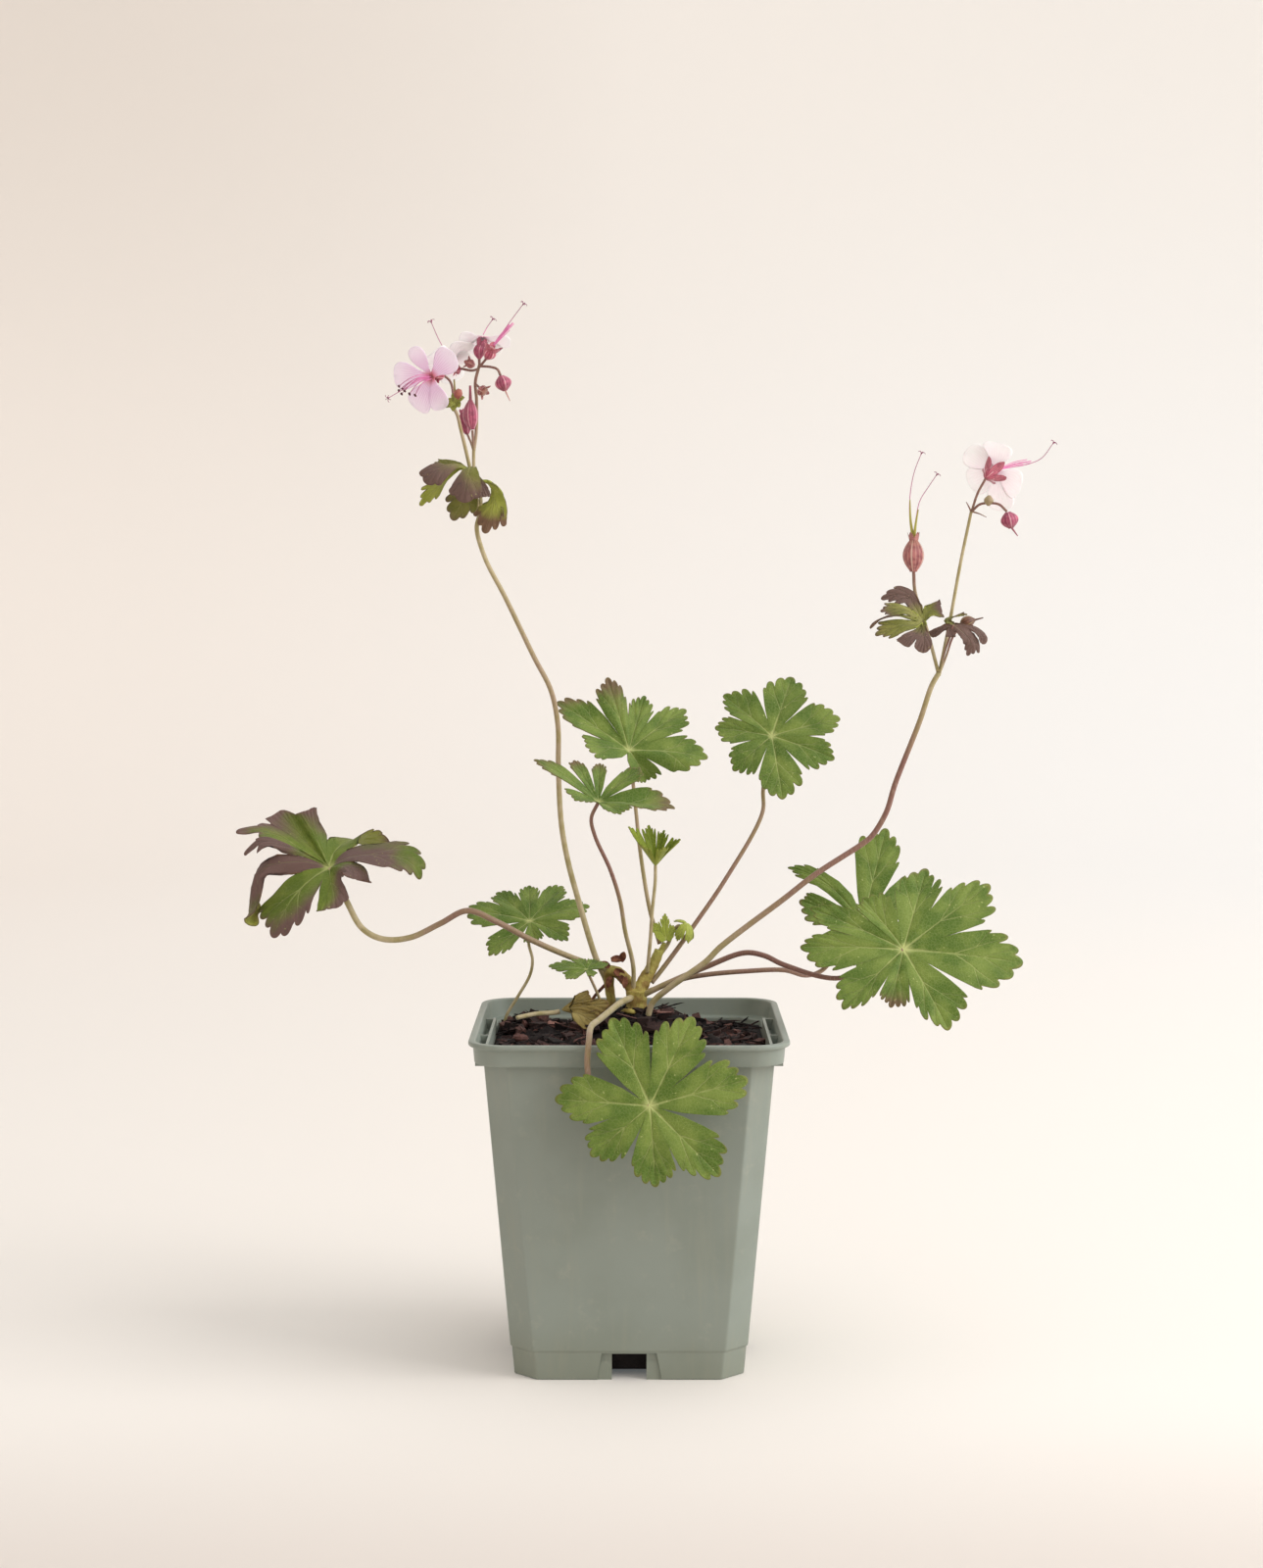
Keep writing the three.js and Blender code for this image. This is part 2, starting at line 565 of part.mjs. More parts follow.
const LEFT_STEM = {
  main: {
    girth: taper(1.1, 0.8),
    steps: 20,
    route: [[-7, 19.5, 126], [-8.6, 19.5, 131], [-12.1, 17.5, 139], [-19.2, 17, 163],
      [-22.1, 17, 174], [-24.5, 16, 188], [-25.5, 15, 208], [-25.6, 12, 224], [-28, 9, 236.5],
      [-33.9, 6, 248.5], [-43.8, 2, 269.5], [-50.8, -1, 283.5], [-53.5, -4, 294], [-52.5, -5, 298]],
  },
  left: {
    girth: taper(0.7, 0.6),
    steps: 9,
    route: [[-52.5, -5, 297], [-54, -6.4, 307], [-56, -7.4, 316.5], [-58.5, -9, 327.5],
      [-60, -10, 333.5], [-62, -11, 336.5]],
  },
  right: {
    girth: taper(0.65, 0.6),
    steps: 5,
    route: [[-52.5, -5, 297], [-54, -4, 307], [-54.5, -3, 315], [-54.5, -3, 321]],
  },
  rightUp: {
    girth: taper(0.6, 0.55),
    steps: 7,
    route: [[-54.5, -3, 320.5], [-53.8, 1.4, 328], [-53.7, 1.8, 339], [-54, 0.4, 345],
      [-52.5, 0, 351]],
  },
  toOuter: { girth: even(0.5), steps: 2, route: [[-54.5, -3, 320.5], [-54.9, -3.3, 327.8]] },
  toInner: {
    girth: even(0.5),
    steps: 3,
    route: [[-54.5, -3, 320.5], [-55.4, -1.2, 323.4], [-56.8, 0.5, 326.4]],
  },
  toBud: {
    girth: even(0.5),
    steps: 5,
    route: [[-52.5, 0, 350.5], [-48.5, -3, 350], [-46, -5, 349], [-45, -6, 347.2]],
  },
  toTop: { girth: even(0.5), steps: 2, route: [[-52.5, 0, 350.3], [-52.6, 0.4, 352.4]] },
  toTopRight: { girth: even(0.5), steps: 2, route: [[-52.5, 0, 350.2], [-50.2, -2, 352.4]] },
  toBloom: {
    girth: even(0.5),
    steps: 5,
    route: [[-61.6, -10.8, 335.6], [-61.4, -7.6, 341], [-62.6, -5.4, 345], [-64.8, -5.2, 347.2]],
  },
  toBack: { girth: even(0.5), steps: 4, route: [[-53, 0.2, 349.5], [-55.6, 3, 349.2], [-59, 4.8, 350]] },
  toSpent: { girth: even(0.5), steps: 2, route: [[-54, 0.6, 344.4], [-52.6, -1.8, 343.2]] },
};

const RIGHT_STEM = {
  main: {
    girth: taper(1.15, 0.95),
    steps: 20,
    route: [[5.5, 3.5, 108], [7, 4, 121], [8.5, 3.8, 125], [14.5, 2.5, 130.5], [27.5, 2, 140],
      [32.5, 2.5, 145], [55, 4, 162], [66.5, 4, 171], [83.5, 5, 182], [86.5, 5, 184.5],
      [91.5, 4, 193], [94.6, 3, 203.5], [103, 1, 226], [107, 0, 238.5], [109.5, 0, 243]],
  },
  left: {
    girth: taper(0.65, 0.6),
    steps: 7,
    route: [[109.5, 0, 242], [107.4, 1, 250.5], [105, 2.6, 259.5], [101.2, 3.4, 271.5],
      [100.6, 3, 278.4]],
  },
  right: {
    girth: taper(0.7, 0.6),
    steps: 8,
    route: [[109.5, 0, 242], [112.5, -1, 258], [113.5, -2, 264], [116.5, -3, 282], [120, -4, 300]],
  },
  third: {
    girth: even(0.55),
    steps: 4,
    route: [[109.5, 0, 242], [112.5, 2, 249.5], [114.4, 3, 255], [117, 3.4, 259]],
  },
  toBloom: { girth: even(0.5), steps: 3, route: [[120, -4, 299.5], [122, -5, 306], [124.2, -5.8, 310.4]] },
  toBud: {
    girth: even(0.5),
    steps: 7,
    route: [[120, -4, 299.5], [122.5, -6, 302], [125.5, -8, 302.5], [129, -9, 302],
      [131.4, -10, 299.9]],
  },
  smallBud: {
    girth: (t) => 0.4 + 1.3 * Math.sin(Math.PI * t),
    steps: 6,
    route: [[125.4, -8, 301.5], [125.5, -8, 303.3], [125.7, -8, 305.2]],
  },
};

const branched = (stem) => join(...Object.values(stem).map(({ route, girth, steps }) => (
  stalk(route, girth, { steps }))));

const DRY_STICK = { girth: even(0.6), route: [[-17, 27, 112], [-13.5, 26.4, 122.5], [-9, 25.4, 128]] };

// Clear holes in the compost for everything that stands in it.
function holes() {
  const foot = ({ route, girth }) => ({ route: route.slice(0, 4), girth: even(girth(0) + CLEARANCE) });
  const rooted = [foot(RIGHT_STEM.main), foot(STALKS.leaf_left_low), foot(STALKS.leaf_small), DRY_STICK];
  return [...Object.values(CROWN).map((piece) => swollen(piece, CROWN_GRID)),
    ...rooted.map((piece) => swollen(piece, { sides: 8, steps: 8 }))];
}

// ---------------------------------------------------------------- blooms

// A petal or sepal: a blade that widens from its claw to a round end. `lift` is its rise at
// the claw and at the end, in degrees.
function petal([centre, [e1, e2, n]], [direction, lift, endLift, length, width], thickness = PETAL) {
  const heading = radians(direction);
  const along = e1.clone().multiplyScalar(Math.cos(heading)).addScaledVector(e2, Math.sin(heading));
  const across = n.clone().cross(along);
  const rows = [[0, 0.2], [0.3, 0.42], [0.62, 0.94], [0.86, 0.9], [1, 0.42]];
  const corners = [];
  const point = centre.clone();
  let reached = 0;
  for (const [t, share] of rows) {
    const rise = radians(mix(lift, endLift, t));
    const step = (t - reached) * length;
    point.addScaledVector(along, step * Math.cos(rise)).addScaledVector(n, step * Math.sin(rise));
    reached = t;
    for (const side of [-1, 0, 1]) {
      const dip = side === 0 ? -0.06 * width * share : 0;
      corners.push(point.clone().addScaledVector(across, side * share * width / 2).addScaledVector(n, dip));
    }
  }
  const triangles = [];
  for (let row = 0; row + 1 < rows.length; row += 1) {
    for (const column of [0, 1]) {
      const a = row * 3 + column;
      triangles.push([a, a + 3, a + 4], [a, a + 4, a + 1]);
    }
  }
  const right = rows.map((_, row) => row * 3);
  const left = right.map((corner) => corner + 2).reverse();
  return sheet(corners, triangles, [...right, right.at(-1) + 1, ...left, 1], thickness);
}

// A flower's own frame: its middle, and the way it faces.
const flower = (centre, facing) => [vector(centre), frameOf(facing)];

// Petals round a small hub that joins them.
function corolla(centre, facing, petals) {
  const place = flower(centre, facing);
  const [, [, , n]] = place;
  const hubFoot = place[0].clone().addScaledVector(n, -0.9);
  const hubTop = place[0].clone().addScaledVector(n, 0.5);
  const hub = stalk([hubFoot.toArray(), hubTop.toArray()], even(1.7), { sides: 8, steps: 1 });
  return join(hub, ...petals.map((one) => petal(place, one)));
}

// A spindle with five ridges: a bud, or a calyx closed round its seeds. It runs from the
// pedicel's end along its points.
function spindle(points, radius, { neck = 0.35, tip = 0.3 } = {}) {
  const hump = (t) => Math.sin(Math.PI * Math.min(1, t * (1 - neck * 0.3) + 0.06)) ** 0.8;
  const girth = (t) => radius * Math.max(hump(t), t > 0.5 ? tip : neck);
  return stalk(points, girth, { sides: 10, steps: 5, ribs: 5 });
}

// Thin threads from one foot: stamens or a style with its forked end.
const threads = (routes, radius) => join(...routes.map((route) => (
  stalk(route, taper(radius, radius * 0.8), { sides: 3, steps: 4 }))));

// ---------------------------------------------------------------- the plant

const COLOURS = {
  pot: { color: 0x898d7c, roughness: 0.5 },
  compost: { color: 0x30252a, roughness: 0.95 },
  leaf: { color: 0x6f8f3c, roughness: 0.6 },
  youngLeaf: { color: 0x86a526, roughness: 0.6 },
  redLeaf: { color: 0x6b5a45, roughness: 0.6 },
  deadLeaf: { color: 0x8d7a45, roughness: 0.85 },
  stalk: { color: 0x8f7a5c, roughness: 0.6 },
  crown: { color: 0x8d7b33, roughness: 0.75 },
  dry: { color: 0x6a3a2a, roughness: 0.9 },
  pinkPetal: { color: 0xdcbcd6, roughness: 0.6 },
  palePetal: { color: 0xf0e2e4, roughness: 0.6 },
  calyx: { color: 0xa04a5c, roughness: 0.6 },
  thread: { color: 0xc07aa0, roughness: 0.6 },
};

const LEAF_COLOURS = {
  leaf_young: 'youngLeaf',
  leaf_bud: 'youngLeaf',
  leaf_curled: 'youngLeaf',
  dead_leaf: 'deadLeaf',
  bract_leaf_left: 'redLeaf',
  bract_leaf_left_small: 'redLeaf',
  bract_leaf_right: 'redLeaf',
  bract_leaf_right_small: 'redLeaf',
};

const plant = new THREE.Group();

function place(name, geometry, colour) {
  const material = new THREE.MeshStandardMaterial({ metalness: 0, ...COLOURS[colour] });
  const piece = new THREE.Mesh(geometry, material);
  piece.name = name;
  plant.add(piece);
}

place('pot', pot(), 'pot');
place('compost', compost(), 'compost');
place('crown', crown(), 'crown');
place('dry_stick', stalk(DRY_STICK.route, DRY_STICK.girth, { steps: 3 }), 'dry');
for (const name of Object.keys(LEAVES)) place(name, leaf(LEAVES[name]), LEAF_COLOURS[name] ?? 'leaf');
for (const name of Object.keys(STALKS)) place(`${name}_stalk`, clearOfCrown(leafStalk(name)), 'stalk');
place('flower_stem_left', clearOfCrown(branched(LEFT_STEM)), 'stalk');
place('flower_stem_right', branched(RIGHT_STEM), 'stalk');

// Two dried scales left on the arching shoot.
const FRONT = [0, -1, 0];
place('dry_scales', clearOfCrown(join(
  petal(flower([-5.4, 11.4, 137.2], FRONT), [40, 8, -10, 7, 4.5]),
  petal(flower([-5.6, 11.2, 137.6], FRONT), [310, 20, 15, 6.5, 4.5]))), 'dry');

// The open bloom on the left faces forwards.
const OPEN = { centre: [-68.5, -12, 346], facing: [-0.45, -0.86, -0.25] };
place('bloom_left_petals', corolla(OPEN.centre, OPEN.facing, [
  [44, 12, -8, 14, 11.5],
  [124, 24, 5, 12, 7],
  [174, 16, 0, 13.5, 11.5],
  [241, 12, -8, 14, 11.5],
  [296, 16, 0, 11.5, 9.5],
]), 'pinkPetal');
place('bloom_left_calyx', spindle(
  [[-65.4, -6, 347.4], [-66.5, -8.4, 347], [-67.8, -10.7, 346.4]], 2.2), 'calyx');
place('bloom_left_threads', threads([
  [[-69, -12.9, 345.7], [-72.5, -19, 344.6], [-75.5, -25, 341.8], [-77.6, -28, 339]],
  [[-69, -12.9, 345.7], [-73, -18.5, 345.2], [-77, -24.5, 342.6], [-79, -27.5, 340.4]],
  [[-69, -12.9, 345.7], [-71.8, -19.5, 343.8], [-74, -25.5, 340.8], [-75.6, -28.4, 338.4]],
  [[-69, -12.9, 345.7], [-72.6, -20, 344], [-77, -27.5, 340.6], [-81.5, -32, 337.5]],
], 0.45), 'thread');

// The bloom behind it faces away, upwards and to the left.
place('bloom_back_petals', corolla([-63.4, 6.8, 351.6], [-0.4, 0.5, 0.77], [
  [350, 5, -15, 8, 8.5],
  [84, 8, -5, 11, 9],
  [164, 8, -5, 11.5, 10],
  [236, 8, -5, 11.5, 10],
  [308, 8, -5, 11.5, 10],
]), 'palePetal');
place('bloom_back_calyx', spindle([[-59.4, 5, 350], [-60.8, 5.4, 349.8], [-62, 5.7, 349.6]], 1.7), 'calyx');
place('bloom_back_threads', threads([
  [[-63.8, 7.4, 352.4], [-65, 8.8, 356], [-67.6, 9.6, 361], [-70, 10, 366.5]],
  [[-63.8, 7.4, 352.4], [-64.4, 9.2, 355.5], [-66, 10.6, 359.4], [-66.6, 11.4, 361]],
], 0.45), 'thread');

// At the top of the left stem one bloom faces away, and its neighbour has dropped its petals.
place('bloom_top_calyx', spindle(
  [[-52.6, 0.7, 353.1], [-52.6, 1.2, 356], [-51.8, 1.5, 359.2]], 2.1), 'calyx');
place('bloom_top_petals', corolla([-51.4, 2.3, 360.7], [0.1, 0.5, 0.86], [
  [8, 0, -10, 10, 7.5],
  [65, -5, -15, 9, 8.5],
  [122, -2, -15, 9.5, 8.5],
  [178, -4, -22, 8.5, 8],
]), 'palePetal');
place('bloom_top_threads', threads([
  [[-51.3, 2.8, 361.7], [-50, 3.1, 364.2], [-48.2, 3.2, 366.8]],
  [[-51.3, 2.8, 361.7], [-50.8, 3.8, 363], [-50, 4.4, 364.6]],
], 0.45), 'thread');
place('calyx_open', spindle(
  [[-50, -2.4, 352.9], [-48.9, -3.2, 354.8], [-47.7, -3.9, 357.3]], 2.6), 'calyx');
place('calyx_open_threads', threads([
  [[-47.3, -4.1, 358], [-44.6, -4.8, 361.2], [-41.5, -5.6, 364.4]],
  [[-47.3, -4.1, 358], [-44.2, -4, 360.6], [-40.6, -4.8, 363.4]],
  [[-47.3, -4.1, 358], [-42.4, -5.6, 364.2], [-37, -8, 371]],
], 0.45), 'thread');

// Closed calyces, buds and spent heads of the left stem.
const beak = (points) => stalk(points, taper(0.55, 0.3), { sides: 5, steps: 2 });
place('calyx_outer', join(
  spindle([[-55, -3.4, 328.2], [-55.4, -3.8, 333], [-55.5, -4, 338.4]], 2.6),
  beak([[-55.5, -4, 337.6], [-55.6, -4, 343.5]])), 'calyx');
place('calyx_inner', spindle([[-57, 0.8, 326.9], [-57.9, 1.2, 330.8], [-58.8, 1.5, 335]], 2.2), 'calyx');
place('bud_left', join(
  spindle([[-44.7, -6.1, 346.7], [-44, -6.1, 344], [-43.3, -6.1, 341.5]], 2.7),
  beak([[-43.4, -6.1, 342], [-41.6, -6, 338]])), 'calyx');
place('spent_top', spindle([[-54.4, 2.4, 350.9], [-55.8, 2.9, 351.5], [-57, 3.3, 352.2]], 1.6), 'calyx');
place('spent_side', spindle([[-52.4, -2.5, 342.8], [-51.6, -3, 342], [-50.5, -3.6, 341.2]], 1.9), 'calyx');
place('bract_left', join(
  spindle([[-60.6, -12.5, 336.3], [-59.6, -13, 338], [-59, -13.3, 340.7]], 1.9),
  beak([[-60.3, -13.1, 338.6], [-60.6, -13.3, 345]])), 'youngLeaf');

// The right stem: a calyx with its seeds, the bloom seen from behind, buds and a withered head.
place('calyx_seed', spindle([[100.6, 3, 279], [100.6, 3, 285.5], [100.5, 3, 291.6]], 3.6), 'calyx');
place('calyx_seed_styles', threads([
  [[100.4, 3, 292.3], [99.2, 3.6, 297], [99.2, 4, 305], [100.6, 4, 313.5], [103, 4, 320]],
  [[100.4, 3, 292.3], [101.2, 2, 297.5], [102.4, 1, 303.5], [105.4, 0.4, 308.5], [108, 0, 312.4]],
], 0.5), 'thread');
const AWAY = { centre: [128.6, -0.6, 314], facing: [0.55, 0.75, 0.35] };
place('bloom_right_calyx', spindle(
  [[124.8, -5.5, 311.3], [126.7, -3.6, 312.8], [128, -2, 313.7]], 3), 'calyx');
place('bloom_right_petals', corolla(AWAY.centre, AWAY.facing, [
  [208, -4, -12, 12.5, 10.5],
  [272, -4, -12, 11, 11.5],
  [18, -4, -12, 12, 11.5],
  [74, -4, -12, 14.5, 11],
  [142, -4, -12, 11.5, 10.5],
]), 'palePetal');
place('bloom_right_threads', threads([
  [[129.2, 0.2, 314.2], [132.5, 2.6, 315.2], [137, 3.4, 316.2], [141, 3.6, 317.2]],
  [[129.2, 0.2, 314.2], [132.5, 3, 315.8], [137, 4.4, 317.6], [140.5, 4.8, 318.6]],
  [[129.2, 0.2, 314.2], [134, 2.4, 315.2], [140.5, 3.4, 316.4], [145.5, 3.2, 318.6], [149.3, 2.6, 323.6]],
], 0.45), 'thread');
place('bud_right', join(
  spindle([[131.8, -10.1, 299.3], [132.4, -10.1, 296.9], [133.2, -10, 293.7]], 3),
  beak([[133.1, -10, 294.2], [135.5, -10, 291]])), 'calyx');
place('withered_head', join(
  spindle([[117.3, 3.4, 259.5], [119.8, 3.4, 260.9], [122.4, 3.4, 261.7]], 2.2),
  beak([[121.6, 3.4, 261.4], [125.4, 3.2, 262.4]])), 'redLeaf');

export default plant;
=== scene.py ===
import math

import bmesh
import bpy
import numpy as np
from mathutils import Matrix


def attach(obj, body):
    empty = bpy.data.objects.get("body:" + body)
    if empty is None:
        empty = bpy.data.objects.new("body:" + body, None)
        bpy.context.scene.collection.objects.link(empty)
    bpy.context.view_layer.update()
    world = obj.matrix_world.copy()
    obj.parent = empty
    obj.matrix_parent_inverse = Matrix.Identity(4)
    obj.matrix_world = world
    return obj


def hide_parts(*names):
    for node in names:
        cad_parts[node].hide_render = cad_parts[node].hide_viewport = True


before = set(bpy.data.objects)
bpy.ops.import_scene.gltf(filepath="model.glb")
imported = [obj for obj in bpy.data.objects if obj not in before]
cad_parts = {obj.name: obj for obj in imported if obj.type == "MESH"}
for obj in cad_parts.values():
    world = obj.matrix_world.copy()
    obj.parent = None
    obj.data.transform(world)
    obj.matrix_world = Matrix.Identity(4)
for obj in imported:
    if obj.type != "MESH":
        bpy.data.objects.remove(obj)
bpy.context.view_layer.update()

# ---------------------------------------------------------------- pot
# A tapered square nursery pot, injection moulded in one piece from grey-green polypropylene.
# Thin walls with flat-cut corners stand on a set-back skirt, a deeper collar carries a rolled
# lip, and the foot of each side has a drain in a shallow pressed frame.

MM = 0.001
RIM_WIDTH, POT_HEIGHT = 110, 119
FOOT_WIDTH, SHOULDER_WIDTH, SHOULDER = 81, 99.6, 111.3
COLLAR_WIDTH, LIP_FOOT = 106.8, 116.9
WALL, FLOOR = 1.3, 2
SKIRT_HEIGHT, SKIRT_SETBACK = 10, 0.5
CHAMFER, RIM_RADIUS, EDGE_RADIUS = 8, 13, 1.6
DRAIN_WIDTH, DRAIN_HEIGHT, DRAIN_DEPTH = 12, 9, 20
FRAME_WIDTH, FRAME_HEIGHT, FRAME_RECESS = 22, 9.6, 1


def srgb(red, green, blue):
    """A screen colour, 0 to 255, as the linear colour that a shader takes."""
    share = np.array([red, green, blue]) / 255
    linear = np.where(share <= 0.04045, share / 12.92, ((share + 0.055) / 1.055) ** 2.4)
    return (*linear.tolist(), 1.0)


class Paint:
    """A node material being put together on its Principled shader. Sizes are in mm, and a
    colour is a screen colour (red, green, blue) or the output of a node."""

    def __init__(self, name, **constants):
        self.material = bpy.data.materials.new(name)
        self.material.use_nodes = True
        self.tree = self.material.node_tree
        self.shader = self.tree.nodes["Principled BSDF"]
        for socket, value in constants.items():
            self.shader.inputs[socket.replace("_", " ")].default_value = value

    def node(self, kind, inputs=(), output=0, **settings):
        """One output of a new node whose inputs are linked or set."""
        made = self.tree.nodes.new("ShaderNode" + kind)
        for key, value in settings.items():
            setattr(made, key, value)
        for key, value in dict(inputs).items():
            if isinstance(value, bpy.types.NodeSocket):
                self.tree.links.new(value, made.inputs[key])
            else:
                made.inputs[key].default_value = value
        return made.outputs[output]

    def place(self, stretch=(1, 1, 1)):
        """The place on the object in mm, each axis divided by its stretch."""
        here = self.node("TexCoord", output="Object")
        return self.node("VectorMath", {0: here, 1: [1 / MM / s for s in stretch]}, operation="MULTIPLY")

    def noise(self, where, size, detail=3, roughness=0.5):
        inputs = {"Vector": where, "Scale": 1 / size, "Detail": detail, "Roughness": roughness}
        return self.node("TexNoise", inputs)

    def parts(self, vector):
        """Its x, y and z."""
        return list(self.node("SeparateXYZ", {0: vector}).node.outputs)

    def flat(self):
        """The place on the piece's own UV map: across, along and 0."""
        return self.parts(self.node("UVMap", uv_map="UVMap"))

    def mark(self, name):
        """What is painted on the mesh under that name."""
        return self.node("Attribute", output="Fac", attribute_name=name)

    def step(self, value, low, high):
        """0 below `low`, 1 above `high`, eased between them."""
        inputs = {0: value, 1: low, 2: high, 3: 0.0, 4: 1.0}
        return self.node("MapRange", inputs, interpolation_type="SMOOTHSTEP")

    def math(self, operation, first, second=0.0, third=0.0):
        return self.node("Math", {0: first, 1: second, 2: third}, operation=operation)

    def times(self, first, second):
        return self.math("MULTIPLY", first, second)

    def plus(self, first, second):
        return self.math("ADD", first, second)

    def rest(self, value):
        """What the value leaves of 1."""
        return self.math("SUBTRACT", 1.0, value)

    def ramp(self, value, slope, start):
        """`start` plus `slope` times the value."""
        return self.math("MULTIPLY_ADD", value, slope, start)

    def ridges(self, value, rate):
        """The sine of `rate` times the value, without its sign."""
        return self.math("ABSOLUTE", self.math("SINE", self.times(value, rate)))

    def mix(self, share, first, second):
        """The first colour where the share is 0, the second where it is 1."""
        first, second = (srgb(*one) if isinstance(one, tuple) else one for one in (first, second))
        return self.node("Mix", {0: share, 6: first, 7: second}, output=2, data_type="RGBA")

    def lay(self, colour, other, share, strength=1.0):
        """The other colour laid over the first, by its share times its strength."""
        return self.mix(self.times(share, strength), colour, other)

    def finish(self, colour, height=None, depth=0.1, roughness=None):
        """Joins colour, a height field, `depth` mm deep, and roughness to the shader."""
        self.tree.links.new(colour, self.shader.inputs["Base Color"])
        if roughness is not None:
            self.tree.links.new(roughness, self.shader.inputs["Roughness"])
        if height is not None:
            relief = self.node("Bump", {"Height": height, "Distance": depth * MM, "Strength": 1.0})
            self.tree.links.new(relief, self.shader.inputs["Normal"])
        return self.material


def grid(points, uv=None, **marks):
    """A sheet of points, rows by columns, with what is painted on it: (u, v) and named marks."""
    rows, columns = points.shape[:2]
    corner = np.arange(rows * columns).reshape(rows, columns)
    quads = np.stack([corner[:-1, :-1], corner[:-1, 1:], corner[1:, 1:], corner[1:, :-1]], -1)
    if uv is None:
        uv = np.stack(np.meshgrid(np.linspace(0, 1, columns), np.linspace(0, 1, rows)), -1)
    painted = {name: np.broadcast_to(value, (rows, columns)).ravel() for name, value in marks.items()}
    return {"points": points.reshape(-1, 3), "quads": quads.reshape(-1, 4), "uv": uv.reshape(-1, 2),
            "marks": painted}


def closed(rings):
    """Rings of points closed to a solid: each ring ends on its first point, and a row at
    either end shrinks to the middle of the ring beside it."""
    foot, head = (np.broadcast_to(ring.mean(0), ring.shape) for ring in (rings[0], rings[-1]))
    rings = np.concatenate([foot[None], rings, head[None]])
    return np.concatenate([rings, rings[:, :1]], 1)


def make_piece(name, shapes, materials, stands_for=None, thickness=0, outwards=True):
    """Joins shapes in one mesh piece, welds the corners that meet, and fixes it to the part's
    body in place of the node that it stands for. A thickness, in mm, is laid behind a sheet,
    with the last material on it."""
    starts = np.cumsum([0] + [len(one["points"]) for one in shapes])
    quads = np.concatenate([one["quads"] + start for one, start in zip(shapes, starts)])
    mesh = bpy.data.meshes.new(name)
    mesh.from_pydata((np.concatenate([one["points"] for one in shapes]) * MM).tolist(), [], quads.tolist())
    uv = np.concatenate([one["uv"] for one in shapes])[quads.ravel()]
    mesh.uv_layers.new(name="UVMap").data.foreach_set("uv", uv.astype(np.float32).ravel())
    for mark in shapes[0]["marks"]:
        values = np.concatenate([one["marks"][mark] for one in shapes])
        mesh.attributes.new(mark, "FLOAT", "POINT").data.foreach_set("value", values.astype(np.float32))
    work = bmesh.new()
    work.from_mesh(mesh)
    bmesh.ops.remove_doubles(work, verts=work.verts, dist=1e-6)
    if outwards:
        bmesh.ops.recalc_face_normals(work, faces=work.faces)
    work.to_mesh(mesh)
    work.free()
    mesh.shade_smooth()
    piece = bpy.data.objects.new(name, mesh)
    bpy.context.scene.collection.objects.link(piece)
    for material in materials:
        mesh.materials.append(material)
    if thickness:
        wall = piece.modifiers.new("thickness", "SOLIDIFY")
        wall.thickness = thickness * MM
        wall.offset = -1
        wall.material_offset = len(materials) - 1
    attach(piece, "root")
    if stands_for:
        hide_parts(stands_for)
    return piece


def eased(rows, ease):
    """A profile with every corner turned into a short curve that starts and ends at most
    `ease` mm from it: a quadratic arc through three points."""
    rows = np.asarray(rows, float)
    before, corner, after = rows[:-2], rows[1:-1], rows[2:]
    to_before = np.linalg.norm((before - corner)[:, :2], axis=1, keepdims=True)
    to_after = np.linalg.norm((after - corner)[:, :2], axis=1, keepdims=True)
    start = corner + (before - corner) * np.minimum(ease / to_before, 0.45)
    end = corner + (after - corner) * np.minimum(ease / to_after, 0.45)
    t = np.linspace(0, 1, 6)[None, :, None]
    curve = (1 - t) ** 2 * start[:, None] + 2 * t * (1 - t) * corner[:, None] + t ** 2 * end[:, None]
    return np.vstack([rows[:1], curve.reshape(-1, rows.shape[1]), rows[-1:]])


def pot_plan(rows):
    """Rings for rows of (half width, height, cut, fillet): a square with its corners cut flat
    over `cut`, and each of its eight edges then rounded by `fillet`. A quarter is a straight
    side, an arc of 45 degrees, the flat and a second arc, and the other three are its turns."""
    half, height, flat_cut, fillet = (column[:, None] for column in np.asarray(rows, float).T)
    reach = half - flat_cut - fillet * math.tan(math.pi / 8)
    side = np.linspace(-1, 1, 25)[:-1]
    bow = np.linspace(0, math.pi / 4, 8)
    across = np.linspace(0, 1, 6)[1:-1]
    first = [half - fillet + fillet * np.cos(bow), reach + fillet * np.sin(bow)]
    second = [first[1][:, ::-1], first[0][:, ::-1]]
    level = [one[:, -1:] * (1 - across) + two[:, :1] * across for one, two in zip(first, second)]
    x = np.hstack([half + 0 * side, first[0], level[0], second[0]])
    y = np.hstack([reach * side, first[1], level[1], second[1]])
    plan = np.stack([np.hstack([x, -y, -x, y]), np.hstack([y, x, -y, -x])], -1)
    return np.concatenate([plan, np.broadcast_to(height[..., None], plan.shape[:2] + (1,))], -1)


def rounded(radius):
    """Cut and fillet of a plan whose corners are plain quarter circles."""
    return radius * (2 - math.sqrt(2)), radius


def body_half(height):
    return (FOOT_WIDTH + (SHOULDER_WIDTH - FOOT_WIDTH) * height / SHOULDER) / 2


def block(low, high, quarter=0):
    """A closed box between two corners, turned round the pot's middle by quarters."""
    (x0, y0, z0), (x1, y1, z1) = low, high
    ring = np.array([(x0, y0), (x1, y0), (x1, y1), (x0, y1)], float)
    rings = np.stack([np.column_stack([ring, np.full(4, z)]) for z in (z0, z1)])
    return grid(turned(closed(rings), quarter))


def blocks(low, high):
    """The same box at each of the pot's four sides."""
    return [block(low, high, quarter) for quarter in range(4)]


def turned(points, quarter):
    x, y, z = np.moveaxis(points, -1, 0)
    for _ in range(quarter):
        x, y = -y, x
    return np.stack([x, y, z], -1)


